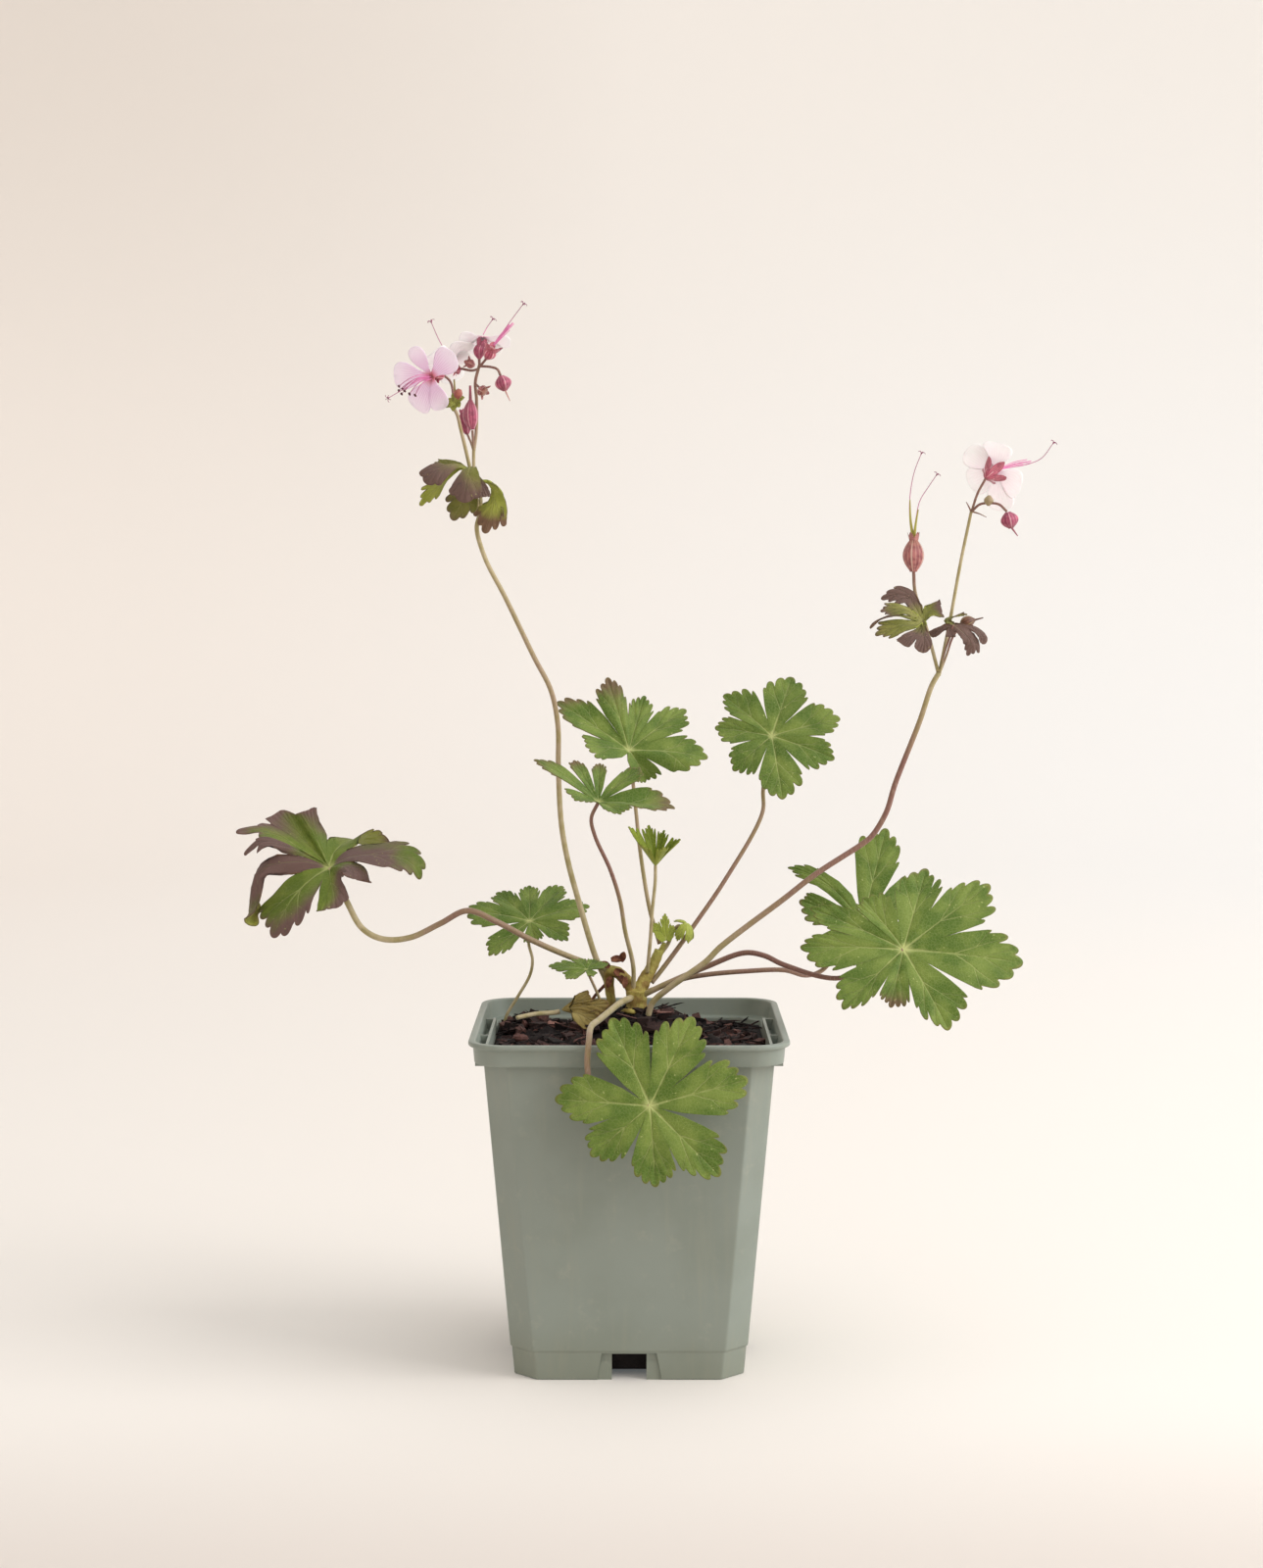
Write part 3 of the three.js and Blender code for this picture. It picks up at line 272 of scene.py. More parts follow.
def carve(piece, operation, shapes):
    """One exact Boolean between the piece and closed shapes, applied at once."""
    tool = make_piece("tool", shapes, [])
    change = piece.modifiers.new("cut", "BOOLEAN")
    change.operation = operation
    change.solver = "EXACT"
    change.use_self = True
    change.object = tool
    made = bpy.data.meshes.new_from_object(piece.evaluated_get(bpy.context.evaluated_depsgraph_get()))
    piece.modifiers.clear()
    old, piece.data = piece.data, made
    bpy.data.meshes.remove(old)
    bpy.data.objects.remove(tool)


def grey_green_plastic():
    paint = Paint("grey_green_plastic", Specular_IOR_Level=0.4)
    where = paint.place()
    cloud = paint.noise(where, 28, 4)
    flow = paint.noise(paint.place((1.2, 1.2, 26)), 3, 3)
    grain = paint.noise(where, 0.35, 2)
    dust = paint.step(paint.noise(where, 9, 6, 0.65), 0.56, 0.72)
    foot = paint.rest(paint.step(paint.parts(where)[2], 1.0, 26.0))
    colour = paint.mix(paint.step(cloud, 0.35, 0.65), (133, 141, 131), (139, 147, 138))
    colour = paint.lay(colour, (147, 150, 136), paint.step(flow, 0.5, 0.75), 0.35)
    colour = paint.lay(colour, (122, 124, 104), foot, 0.35)
    colour = paint.lay(colour, (178, 172, 156), dust, 0.16)
    rough = paint.node("MapRange", {0: cloud, 1: 0.3, 2: 0.7, 3: 0.36, 4: 0.5})
    return paint.finish(colour, paint.plus(grain, paint.times(flow, 0.5)), 0.03, rough)


inside_half = COLLAR_WIDTH / 2 - WALL
outer_rows = eased([
    (body_half(0) - SKIRT_SETBACK - 3, 0, CHAMFER, EDGE_RADIUS),
    (body_half(0) - SKIRT_SETBACK, 0, CHAMFER, EDGE_RADIUS),
    (body_half(SKIRT_HEIGHT) - SKIRT_SETBACK, SKIRT_HEIGHT, CHAMFER, EDGE_RADIUS),
    (body_half(SKIRT_HEIGHT), SKIRT_HEIGHT + 0.4, CHAMFER, EDGE_RADIUS),
    (SHOULDER_WIDTH / 2, SHOULDER, CHAMFER, EDGE_RADIUS),
    (COLLAR_WIDTH / 2 - 0.5, SHOULDER + 0.01, *rounded(RIM_RADIUS - 2)),
    (COLLAR_WIDTH / 2, LIP_FOOT, *rounded(RIM_RADIUS - 1.6)),
    (RIM_WIDTH / 2, LIP_FOOT + 0.5, *rounded(RIM_RADIUS)),
    (RIM_WIDTH / 2, POT_HEIGHT, *rounded(RIM_RADIUS)),
    (inside_half + 0.5, POT_HEIGHT, *rounded(RIM_RADIUS - 2)),
    (inside_half - 0.5, SHOULDER + WALL, *rounded(RIM_RADIUS - 3)),
    (body_half(SHOULDER) - WALL, SHOULDER + WALL - 0.01, CHAMFER - 0.8, EDGE_RADIUS),
    (body_half(SKIRT_HEIGHT + 2) - WALL, SKIRT_HEIGHT + 2, CHAMFER - 0.8, EDGE_RADIUS),
    (body_half(FLOOR) - WALL - SKIRT_SETBACK, FLOOR, CHAMFER - 1, EDGE_RADIUS),
    (10, FLOOR, 2, EDGE_RADIUS / 2),
], 0.6)
pot = make_piece("pot_shell", [grid(closed(pot_plan(outer_rows)))], [grey_green_plastic()], "pot")

RIB_FOOT, RIB_TOP, RIB_DEPTH, RIB_WIDTH = SHOULDER - 1, POT_HEIGHT - 2.4, 4.2, 1
RIB_PLACES, PLATE_ENDS, PLATE_DEPTH = (19.4, -17, -43.4), (-45, 21), 1
plate = SHOULDER_WIDTH / 2 - 1.4
stiffeners = blocks((-FRAME_WIDTH / 2 - 1.5, -FOOT_WIDTH / 2 + 1.2, 0.6),
                    (FRAME_WIDTH / 2 + 1.5, -FOOT_WIDTH / 2 + 5, FRAME_HEIGHT + 2))
for side in (-1, 1):
    plate_x = sorted((side * plate, side * (plate + PLATE_DEPTH)))
    rib_x = sorted((side * plate, side * (plate + RIB_DEPTH)))
    stiffeners.append(block((plate_x[0], PLATE_ENDS[0], RIB_FOOT), (plate_x[1], PLATE_ENDS[1], RIB_TOP)))
    stiffeners += [block((rib_x[0], y - RIB_WIDTH / 2, RIB_FOOT), (rib_x[1], y + RIB_WIDTH / 2, RIB_TOP))
                   for y in RIB_PLACES]
carve(pot, "UNION", stiffeners)


def drain_frame(quarter):
    """The shallow pressed frame: a six-cornered plate sunk in the wall."""
    foot, top = FRAME_WIDTH / 2, FRAME_WIDTH / 2 - 1.5
    outline = [(-foot, -1), (foot, -1), (foot, 2), (top, FRAME_HEIGHT), (-top, FRAME_HEIGHT), (-foot, 2)]
    rings = np.array([[(x, y, z) for x, z in outline]
                      for y in (-FOOT_WIDTH / 2 - 3, -FOOT_WIDTH / 2 + FRAME_RECESS)])
    return grid(turned(closed(rings), quarter))


carve(pot, "DIFFERENCE", [drain_frame(quarter) for quarter in range(4)])
carve(pot, "DIFFERENCE", blocks((-DRAIN_WIDTH / 2, -FOOT_WIDTH / 2 - 3, -1),
                                (DRAIN_WIDTH / 2, -FOOT_WIDTH / 2 - 3 + DRAIN_DEPTH, DRAIN_HEIGHT)))
pot.data.set_sharp_from_angle(angle=math.radians(32))

# ---------------------------------------------------------------- compost
# Damp potting compost, filled to below the collar and mounded round the crown. Its surface is
# crumbs, bark chips from nearly black to reddish pink, and coarse fibres.

COMPOST_EDGE = 110.6
# A mound is its x, y, rise and width.
MOUNDS = [(4, 11, 10.2, 15), (-44, 30, 5.5, 11), (30, -20, 2.5, 16), (-25, -28, 2.2, 14)]
chance = np.random.default_rng(11)


def ripple(x, y, size, seed):
    """Smooth random heights from -1 to 1: random values on a square lattice of `size` mm,
    eased from each lattice point to the next."""
    table = np.random.default_rng(seed).uniform(-1, 1, (64, 64))
    u, v = x / size + 640, y / size + 640
    i, j = np.floor(u).astype(int), np.floor(v).astype(int)
    s, t = ((w - np.floor(w)) ** 2 * (3 - 2 * (w - np.floor(w))) for w in (u, v))
    low = table[i % 64, j % 64] * (1 - s) + table[(i + 1) % 64, j % 64] * s
    high = table[i % 64, (j + 1) % 64] * (1 - s) + table[(i + 1) % 64, (j + 1) % 64] * s
    return low * (1 - t) + high * t


def compost_height(x, y, edge):
    """Height of the surface: low along the walls (edge = 1), raised by bell-shaped mounds, with
    two crossing waves for its lumps."""
    mounds = sum(rise * np.exp(-((x - cx) ** 2 + (y - cy) ** 2) / (2 * wide ** 2))
                 for cx, cy, rise, wide in MOUNDS)
    lumps = 0.7 * np.sin(x * 0.45 + 1) * np.cos(y * 0.5) + 0.5 * np.sin(x * 0.9 - y * 0.7)
    return COMPOST_EDGE + (mounds + lumps) * (1 - edge ** 6)


def compost_body():
    """The fill: the pot's plan carried up inside the wall, then in to the middle over the
    surface, whose height has three sizes of random crumbs added."""
    inset = WALL + 0.3
    lower = pot_plan([
        (body_half(FLOOR) - inset - SKIRT_SETBACK, FLOOR + 0.3, CHAMFER - 1, EDGE_RADIUS),
        (body_half(SKIRT_HEIGHT) - inset - SKIRT_SETBACK, SKIRT_HEIGHT, CHAMFER - 1, EDGE_RADIUS),
        (body_half(SKIRT_HEIGHT + 2) - inset, SKIRT_HEIGHT + 2, CHAMFER - 1, EDGE_RADIUS),
    ])
    border = pot_plan([(body_half(COMPOST_EDGE) - inset, COMPOST_EDGE, CHAMFER - 1, EDGE_RADIUS)])
    edge = np.linspace(1, 0.02, 64)[:, None]
    surface = border * edge[..., None]
    x, y = surface[..., 0], surface[..., 1]
    crumbs = 1.9 * ripple(x, y, 6, 1) + 1.0 * ripple(x, y, 2.6, 2) + 0.45 * ripple(x, y, 1.1, 3)
    surface[..., 2] = compost_height(x, y, edge) + crumbs * (1 - edge ** 12)
    return grid(closed(np.concatenate([lower, surface])), kind=0.12)


def chips(count, length, width, height, lift):
    """Scattered bark: boxes with pulled corners, each turned at random round +Z and tipped a
    little, half sunk in the surface. `kind` runs from black-brown to pink."""
    corners = np.array([(x, y, z) for z in (-1, 1) for x, y in ((-1, -1), (1, -1), (1, 1), (-1, 1))]) / 2
    sizes = np.stack([chance.uniform(*bounds, count) for bounds in (length, width, height)], -1)
    points = corners * sizes[:, None] * chance.uniform(0.55, 1.15, (count, 8, 3))
    yaw = chance.uniform(0, 2 * math.pi, count)
    tip, roll = chance.normal(0, 0.2, count), chance.normal(0, 0.3, count)
    for angle, one, two in ((roll, 1, 2), (tip, 0, 2), (yaw, 0, 1)):
        cos, sin = np.cos(angle)[:, None], np.sin(angle)[:, None]
        a, b = points[..., one].copy(), points[..., two].copy()
        points[..., one], points[..., two] = a * cos - b * sin, a * sin + b * cos
    limit = body_half(COMPOST_EDGE) - 4
    x, y = chance.uniform(-limit, limit, (2, count))
    corner = np.abs(x) + np.abs(y) > 2 * limit - CHAMFER
    x, y = np.where(corner, 0.8 * x, x), np.where(corner, 0.8 * y, y)
    edge = np.maximum(np.abs(x), np.abs(y)) / limit
    rest = compost_height(x, y, edge * 0.94) + lift * chance.uniform(0, 1, count)
    points += np.stack([x, y, rest], -1)[:, None]
    quads = np.array([(3, 2, 1, 0), (4, 5, 6, 7), (0, 1, 5, 4), (1, 2, 6, 5), (2, 3, 7, 6), (3, 0, 4, 7)])
    quads = (quads + 8 * np.arange(count)[:, None, None]).reshape(-1, 4)
    kind = np.repeat(chance.beta(0.9, 1.6, count), 8)
    return {"points": points.reshape(-1, 3), "quads": quads, "uv": np.zeros((8 * count, 2)),
            "marks": {"kind": kind}}


def lump(place, size, kind):
    """One larger piece of bark at a stated place: a ball with its points pulled at random."""
    turn, rise = np.linspace(0, 2 * math.pi, 10)[:-1], np.linspace(-1.1, 1.1, 5)[:, None]
    level = np.cos(rise)
    ball = np.stack(np.broadcast_arrays(level * np.cos(turn), level * np.sin(turn), np.sin(rise)), -1)
    ball = ball * chance.uniform(0.75, 1.1, ball.shape[:2])[..., None]
    return grid(closed(ball * np.array(size) / 2 + place), kind=kind)


def crumbs_and_bark():
    paint = Paint("crumbs_and_bark", Roughness=0.85, Specular_IOR_Level=0.3)
    kind = paint.plus(paint.mark("kind"), paint.times(paint.noise(paint.place(), 1.4, 4), 0.3))
    streak = paint.noise(paint.place((1, 3, 1)), 0.5, 4, 0.6)
    colour = paint.mix(paint.step(kind, 0.2, 0.55), (20, 13, 13), (54, 37, 35))
    colour = paint.lay(colour, (106, 74, 68), paint.step(kind, 0.64, 0.9))
    colour = paint.lay(colour, (166, 122, 112), paint.step(kind, 0.98, 1.14))
    colour = paint.lay(colour, (30, 20, 20), paint.step(streak, 0.5, 0.7), 0.5)
    return paint.finish(colour, streak, 0.25)


bark = crumbs_and_bark()
fill = make_piece("compost_fill", [compost_body()], [bark], "compost")
carve(fill, "DIFFERENCE", blocks((-FRAME_WIDTH / 2 - 2, -FOOT_WIDTH / 2 - 6, -6),
                                 (FRAME_WIDTH / 2 + 2, -FOOT_WIDTH / 2 + 6, FRAME_HEIGHT + 2.3)))
litter = [chips(300, (2.5, 6), (1.4, 3), (0.9, 2), 1.0),
          chips(150, (4.5, 9), (3, 5.5), (2, 4), 1.2),
          chips(300, (5, 14), (0.35, 0.7), (0.3, 0.6), 2.2),
          lump((-28, 20, 113.4), (7, 5, 4.6), 1.0),
          lump((-39, 2, 112.2), (6, 4.4, 3.6), 0.82),
          lump((-31, 14, 112.4), (5, 4.4, 3.6), 0.78),
          lump((18, -2, 117), (5, 4, 3.4), 0.78)]
make_piece("compost_chips", litter, [bark]).data.shade_flat()

# ---------------------------------------------------------------- crown
# The short woody stem that every leaf springs from: olive-brown, knobbly with old leaf scars,
# an arching side shoot with a leg of its own, and a fresh shoot on the right.

CROWN = {  # each shoot's route, and its radius at the foot and at the tip
    "trunk": ([(2.5, 12, 106), (2.5, 12, 118), (2.5, 12, 128)], (4.6, 3.6)),
    "right": ([(2.5, 12, 126), (5.5, 13, 131.5), (8.6, 14, 137), (10.8, 14, 142.4)], (2.8, 1.7)),
    "left": ([(2, 12, 127), (-1, 13, 131.5), (-4, 14, 134), (-8, 15, 135)], (2.4, 2)),
    "leg": ([(-7.2, 15, 135), (-7.4, 17, 130), (-6.5, 17, 122.5), (-6, 17, 108)], (2, 1.2)),
    "sheath": ([(8, 14, 136), (11, 14.2, 141), (12.6, 12.8, 145.2)], (1.6, 0.8)),
    "rootlet": ([(-3, 8.5, 119), (-1.5, 5, 121.6), (1, 3.8, 121.6), (3.2, 5.4, 121), (3.6, 9, 119.6)],
                (0.9, 0.9)),
}


def smooth_route(route, steps):
    """Points at even distances on a smooth curve through the route. Between two of its points
    the curve is a cubic whose end slopes come from the points on either side, each weighed by
    the root of its distance."""
    points = np.asarray(route, float)
    points = np.vstack([2 * points[0] - points[1], points, 2 * points[-1] - points[-2]])
    root = np.sqrt(np.linalg.norm(np.diff(points, axis=0), axis=1))[:, None]
    before, here, after, beyond = points[:-3], points[1:-2], points[2:-1], points[3:]
    g0, g1, g2 = root[:-2], root[1:-1], root[2:]
    leave = ((here - before) / g0 - (after - before) / (g0 + g1) + (after - here) / g1) * g1
    arrive = ((after - here) / g1 - (beyond - here) / (g1 + g2) + (beyond - after) / g2) * g1
    t = np.linspace(0, 1, 17)[None, :-1, None]
    here, after, leave, arrive = (value[:, None] for value in (here, after, leave, arrive))
    curve = here + leave * t + (3 * after - 3 * here - 2 * leave - arrive) * t ** 2
    curve = curve + (2 * here - 2 * after + leave + arrive) * t ** 3
    curve = np.vstack([curve.reshape(-1, 3), points[-2]])
    reached = np.concatenate([[0], np.cumsum(np.linalg.norm(np.diff(curve, axis=0), axis=1))])
    wanted = np.linspace(0, reached[-1], steps + 1)
    return np.stack([np.interp(wanted, reached, curve[:, axis]) for axis in range(3)], -1)


def tube(route, girth, sides=12, steps=32, section=None, **marks):
    """A closed round stalk along a smooth route. `girth` is the radius at the foot and at the
    tip, or a function of the share t of the way; `section` multiplies it round the stalk. Its
    rings stand square to the route, turned from the direction the route bends least in."""
    centre = smooth_route(route, steps)
    along = np.gradient(centre, axis=0)
    along /= np.linalg.norm(along, axis=1, keepdims=True)
    reference = np.linalg.svd(along, full_matrices=True)[2][-1]
    side = np.cross(reference, along)
    side /= np.linalg.norm(side, axis=1, keepdims=True)
    up = np.cross(along, side)
    t = np.linspace(0, 1, steps + 1)[:, None]
    angle = np.linspace(0, 2 * math.pi, sides + 1)[None, :-1]
    radius = girth(t) if callable(girth) else girth[0] + (girth[1] - girth[0]) * t
    radius = radius * (section(t, angle) if section else 1)
    ring = centre[:, None] + (radius * np.cos(angle))[..., None] * side[:, None]
    ring = ring + (radius * np.sin(angle))[..., None] * up[:, None]
    ends = np.concatenate([[0], t[:, 0], [1]])[:, None]
    uv = np.stack(np.broadcast_arrays(np.linspace(0, 1, sides + 1)[None], ends), -1)
    painted = {name: value(ends) if callable(value) else value for name, value in marks.items()}
    return grid(closed(ring), uv, **painted)


def knobbly(t, angle):
    """Leaf scars: fine rings, crossed by three and five lengthwise swellings that wind a little."""
    rings = 0.03 * np.sin(t * 46 + np.sin(angle))
    return 1 + rings + 0.05 * np.sin(3 * angle + 9 * t) + 0.03 * np.sin(5 * angle - 17 * t)


def woody():
    paint = Paint("olive_brown_stem", Roughness=0.62, Specular_IOR_Level=0.35)
    where = paint.place()
    blotch = paint.noise(where, 3, 4, 0.6)
    grain = paint.noise(paint.place((1, 1, 3)), 0.5, 4, 0.6)
    colour = paint.mix(paint.step(blotch, 0.38, 0.6), (178, 164, 86), (148, 122, 64))
    colour = paint.lay(colour, (106, 78, 46), paint.step(grain, 0.52, 0.7), 0.6)
    fresh = paint.step(paint.parts(where)[2], 131, 143)
    colour = paint.lay(colour, (172, 172, 88), fresh, 0.7)
    return paint.finish(colour, grain, 0.25)


crown = make_piece("crown_stem", [
    tube(route, girth, 24, 40, knobbly) for route, girth in CROWN.values()], [woody()], "crown")
fuse = crown.modifiers.new("fuse", "REMESH")
fuse.mode = "VOXEL"
fuse.voxel_size = 0.28 * MM
fuse.use_smooth_shade = True

# ---------------------------------------------------------------- stalks
# Leaf stalks and flower stems: round, springy and finely hairy, olive-green at the foot and
# flushed dull red-brown where the light reaches them. `red` is how far that flush has gone.

# A stalk is its route, its radius at the foot and at the tip, and its red at even distances.
STALKS = {
    "leaf_left": ([(-7, 14.5, 135), (-20, 13.5, 139.5), (-35.6, 8, 147.1), (-47.4, 2, 154.2),
                   (-57.5, 0, 158.4), (-67.5, 3, 153.4), (-78.5, 6, 148), (-88.5, 8, 147.2),
                   (-96, 10, 150.8), (-102, 13, 160.5), (-107.4, 15, 171), (-108.2, 15, 172.2)],
                  (1.05, 1.1), (0.3, 0.6, 0.75, 0.15, 0.05)),
    "leaf_left_low": ([(-46.5, 30, 104), (-45.5, 30, 115), (-41.3, 30, 122.5), (-36.5, 31, 131),
                       (-35.6, 31, 136.5), (-37, 32, 142.5), (-36.6, 33.1, 150.4)], (0.6, 0.55), (0.1, 0.15)),
    "leaf_small": ([(-8, 8, 108), (-8.4, 7, 119), (-11, 4.5, 127), (-15.2, 1.1, 137)], (0.55, 0.5),
                   (0.3, 0.5)),
    "leaf_top_middle": ([(11, 15, 144.5), (7.5, 16, 156.5), (4, 18, 177.5), (2.5, 19.5, 191.5),
                         (0.5, 19.8, 210.4), (-0.1, 18.2, 214.3)], (0.8, 0.65), (0.6, 0.35, 0.5, 0.55)),
    "leaf_under_middle": ([(1.5, 11.5, 127.5), (1.4, 8, 137.5), (-1.5, 2, 151), (-3.2, -3, 162),
                           (-6.7, -9, 174), (-12, -15, 186.5), (-13.2, -18, 193), (-10.8, -19.9, 198.5)],
                          (0.85, 0.65), (0.1, 0.35, 0.9, 0.8)),
    "leaf_top_right": ([(8, 14, 130.5), (11.3, 15, 134.5), (18.9, 17, 144.5), (23.2, 18, 150.5),
                        (34.8, 22, 167), (48.5, 27, 191), (49, 31, 199.5), (51.7, 29.6, 217.2),
                        (51.9, 28.2, 219)], (0.9, 0.7), (0.5, 0.8, 0.6, 0.5)),
    "leaf_right_back": ([(4, 16, 126), (19, 16, 131.5), (27.5, 15.5, 133.2), (42, 15.5, 134.5),
                         (56.1, 17, 134.7), (64.2, 21, 132.2), (70.3, 26, 133.2), (74.9, 30, 137.3),
                         (84.3, 32.6, 147.6), (85.5, 30.3, 150)], (0.95, 0.8), (0.5, 0.75, 0.8, 0.3)),
    "leaf_right_front": ([(5, 11, 126.5), (13.5, 8.5, 131), (27.5, 8, 137.1), (41, 5, 142.6),
                          (48, 1, 142.2), (55, -3, 139.4), (73, -10, 135.6), (86.5, -17, 141.5),
                          (95.5, -21.8, 147.3)], (1.1, 0.8), (0.3, 0.85, 1.1, 1.0)),
    "leaf_hanging": ([(1, 10, 125.8), (-3, 3, 125), (-7, -8, 123.5), (-10.5, -24, 123), (-13, -42, 123.5),
                      (-13.5, -56.5, 121.5), (-14, -59.5, 112.5), (-12.5, -60.5, 106.5), (0, -61, 101),
                      (5, -61.2, 100.4), (7, -64.2, 100.5)], (1.2, 0.95), (0.15, 0.3, 0.35, 0.7, 0.4)),
    "leaf_young": ([(6.5, 11.5, 134.5), (7.6, 10.5, 147), (8.3, 10, 157.5), (9.3, 10, 167.5),
                    (9.4, 10, 173.5)], (0.7, 0.6), (0.4, 0.1)),
    "leaf_curled": ([(10.6, 14.6, 140), (14, 15.8, 144.5), (15.8, 15.4, 149), (17.6, 14.6, 151),
                     (19.2, 13.4, 151)], (0.8, 0.65), (0.1, 0.1)),
    "dead_leaf": ([(-40, -4, 120.6), (-33, 0, 121.4), (-27, 3.2, 121.3), (-25, 3.8, 121.6)], (0.8, 0.9),
                  (0.1, 0.3)),
}

LEFT_STEM = [
    ([(-7, 19.5, 126), (-8.6, 19.5, 131), (-12.1, 17.5, 139), (-19.2, 17, 163), (-22.1, 17, 174),
      (-24.5, 16, 188), (-25.5, 15, 208), (-25.6, 12, 224), (-28, 9, 236.5), (-33.9, 6, 248.5),
      (-43.8, 2, 269.5), (-50.8, -1, 283.5), (-53.5, -4, 294), (-52.5, -5, 298)], (1.1, 0.8),
     (0.1, 0.15, 0.35, 0.5, 0.45, 0.1)),
    ([(-52.5, -5, 297), (-54, -6.4, 307), (-56, -7.4, 316.5), (-58.5, -9, 327.5), (-60, -10, 333.5),
      (-62, -11, 336.5)], (0.7, 0.6), (0.1, 0.35, 0.5)),
    ([(-52.5, -5, 297), (-54, -4, 307), (-54.5, -3, 315), (-54.5, -3, 321)], (0.65, 0.6), (0.1, 0.4)),
    ([(-54.5, -3, 320.5), (-53.8, 1.4, 328), (-53.7, 1.8, 339), (-54, 0.4, 345), (-52.5, 0, 351)],
     (0.6, 0.55), (0.5, 0.8)),
    ([(-54.5, -3, 320.5), (-54.9, -3.3, 328)], (0.45, 0.45), (0.6, 0.9)),
    ([(-54.5, -3, 320.5), (-55.4, -1.2, 323.4), (-56.9, 0.6, 326.8)], (0.4, 0.4), (0.6, 0.9)),
    ([(-52.5, 0, 350.5), (-48.5, -3, 350), (-46, -5, 349), (-44.9, -6.05, 346.9)], (0.45, 0.45), (0.9, 1)),
    ([(-52.5, 0, 350.3), (-52.6, 0.5, 352.9)], (0.5, 0.5), (0.9, 1)),
    ([(-52.5, 0, 350.2), (-50.1, -2.3, 352.8)], (0.45, 0.45), (0.9, 1)),
    ([(-61.6, -10.8, 335.6), (-61.4, -7.6, 341), (-62.6, -5.4, 345), (-65.2, -5.6, 347.3)], (0.45, 0.45),
     (0.7, 0.9)),
    ([(-53, 0.2, 349.5), (-55.6, 3, 349.2), (-59.2, 4.9, 350)], (0.45, 0.45), (0.9, 0.9)),
    ([(-54, 0.6, 344.4), (-52.5, -2.2, 343)], (0.4, 0.4), (0.8, 1)),
    ([(-52.5, -5.2, 297.5), (-53, -8, 303), (-54.2, -10, 309.5), (-54.8, -10.2, 314.2)], (0.75, 0.5),
     (0.0, 0.1)),
    ([(-52.5, -5.2, 297.5), (-51.8, -7.8, 303), (-52, -9.8, 307), (-52.4, -10.4, 310)], (0.75, 0.5),
     (0.0, 0.1)),
]

RIGHT_STEM = [
    ([(5.5, 3.5, 108), (7, 4, 121), (8.5, 3.8, 125), (14.5, 2.5, 130.5), (27.5, 2, 140), (32.5, 2.5, 145),
      (55, 4, 162), (66.5, 4, 171), (83.5, 5, 182), (86.5, 5, 184.5), (91.5, 4, 193), (94.6, 3, 203.5),
      (103, 1, 226), (107, 0, 238.5), (109.5, 0, 243)], (1.15, 0.95), (0.35, 0.3, 0.65, 0.85, 0.85, 0.2)),
    ([(109.5, 0, 242), (107.4, 1, 250.5), (105, 2.6, 259.5), (101.2, 3.4, 271.5), (100.6, 3, 279)],
     (0.65, 0.6), (0.0, 0.1, 0.9)),
    ([(109.5, 0, 242), (112.5, -1, 258), (113.5, -2, 264), (116.5, -3, 282), (120, -4, 300)], (0.65, 0.55),
     (0.0, 0.05, 0.3)),
    ([(109.5, 0, 242), (112.5, 2, 249.5), (114.4, 3, 255), (117, 3.4, 259.2)], (0.4, 0.4), (0.3, 1.2)),
    ([(120, -4, 299.5), (122, -5, 306), (124.6, -5.7, 311)], (0.45, 0.45), (0.7, 1)),
    ([(120, -4, 299.5), (122.5, -6, 302), (125.5, -8, 302.5), (129, -9, 302), (131.6, -10.05, 299.5)],
     (0.45, 0.45), (0.8, 1.2)),
    ([(109.4, -0.4, 243.5), (106.6, -3, 252), (104, -4.6, 258.5), (103.1, -5.2, 261.2)], (0.42, 0.4),
     (0.1, 0.6)),
    ([(109.8, -0.4, 243.5), (111.2, -4, 251), (112.8, -7.4, 257), (113.5, -8.2, 260)], (0.4, 0.4),
     (0.4, 1.2)),
    ([(120, -4, 299.4), (119, -5, 301.2), (118, -5, 303)], (0.4, 0.12), (0.6, 1.2)),
    ([(120.2, -4.4, 299.6), (122.6, -6, 298.8), (125, -6.5, 297.6)], (0.35, 0.1), (0.6, 1.3)),
    ([(125.4, -8, 301.5), (125.5, -8, 303.3), (125.7, -8, 305.2)],
     lambda t: 0.4 + 1.3 * np.sin(math.pi * t), (0.5, 0.5)),
]


def flushed(values):
    """The share of red along a stalk, from its values at even distances."""
    return lambda t: np.interp(t, np.linspace(0, 1, len(values)), values)


def stalk_skin():
    paint = Paint("stalk_skin", Roughness=0.5, Specular_IOR_Level=0.35, Sheen_Weight=0.25,
                  Sheen_Roughness=0.4)
    blotch = paint.noise(paint.place(), 5, 3)
    ridges = paint.noise(paint.place((1, 1, 9)), 0.45, 3, 0.6)
    red = paint.plus(paint.mark("red"), paint.times(blotch, 0.5))
    colour = paint.mix(paint.step(blotch, 0.35, 0.65), (158, 146, 98), (184, 170, 134))
    colour = paint.lay(colour, (132, 94, 84), paint.step(red, 0.45, 1.2))
    # Painted highlight: the ridges are laid paler, as if they catch the light.
    colour = paint.lay(colour, (190, 168, 148), paint.step(ridges, 0.5, 0.75), 0.4)
    return paint.finish(colour, ridges, 0.12)


skin = stalk_skin()
for name, (route, girth, red) in STALKS.items():
    stalk = tube(route, girth, 14, 12 * len(route), red=flushed(red))
    make_piece(name + "_petiole", [stalk], [skin], name + "_stalk")
for name, stem in (("left", LEFT_STEM), ("right", RIGHT_STEM)):
    branches = [tube(route, girth, 14, 10 * len(route), red=flushed(red)) for route, girth, red in stem]
    make_piece(name + "_flowering_stem", branches, [skin], "flower_stem_" + name)

# ---------------------------------------------------------------- leaves
# Soft, hairy, round blades cut into five to eight wedge-shaped lobes with rounded teeth. Pale
# veins run from the stalk's top into each lobe and fork twice. The margin is thin and yellowish.

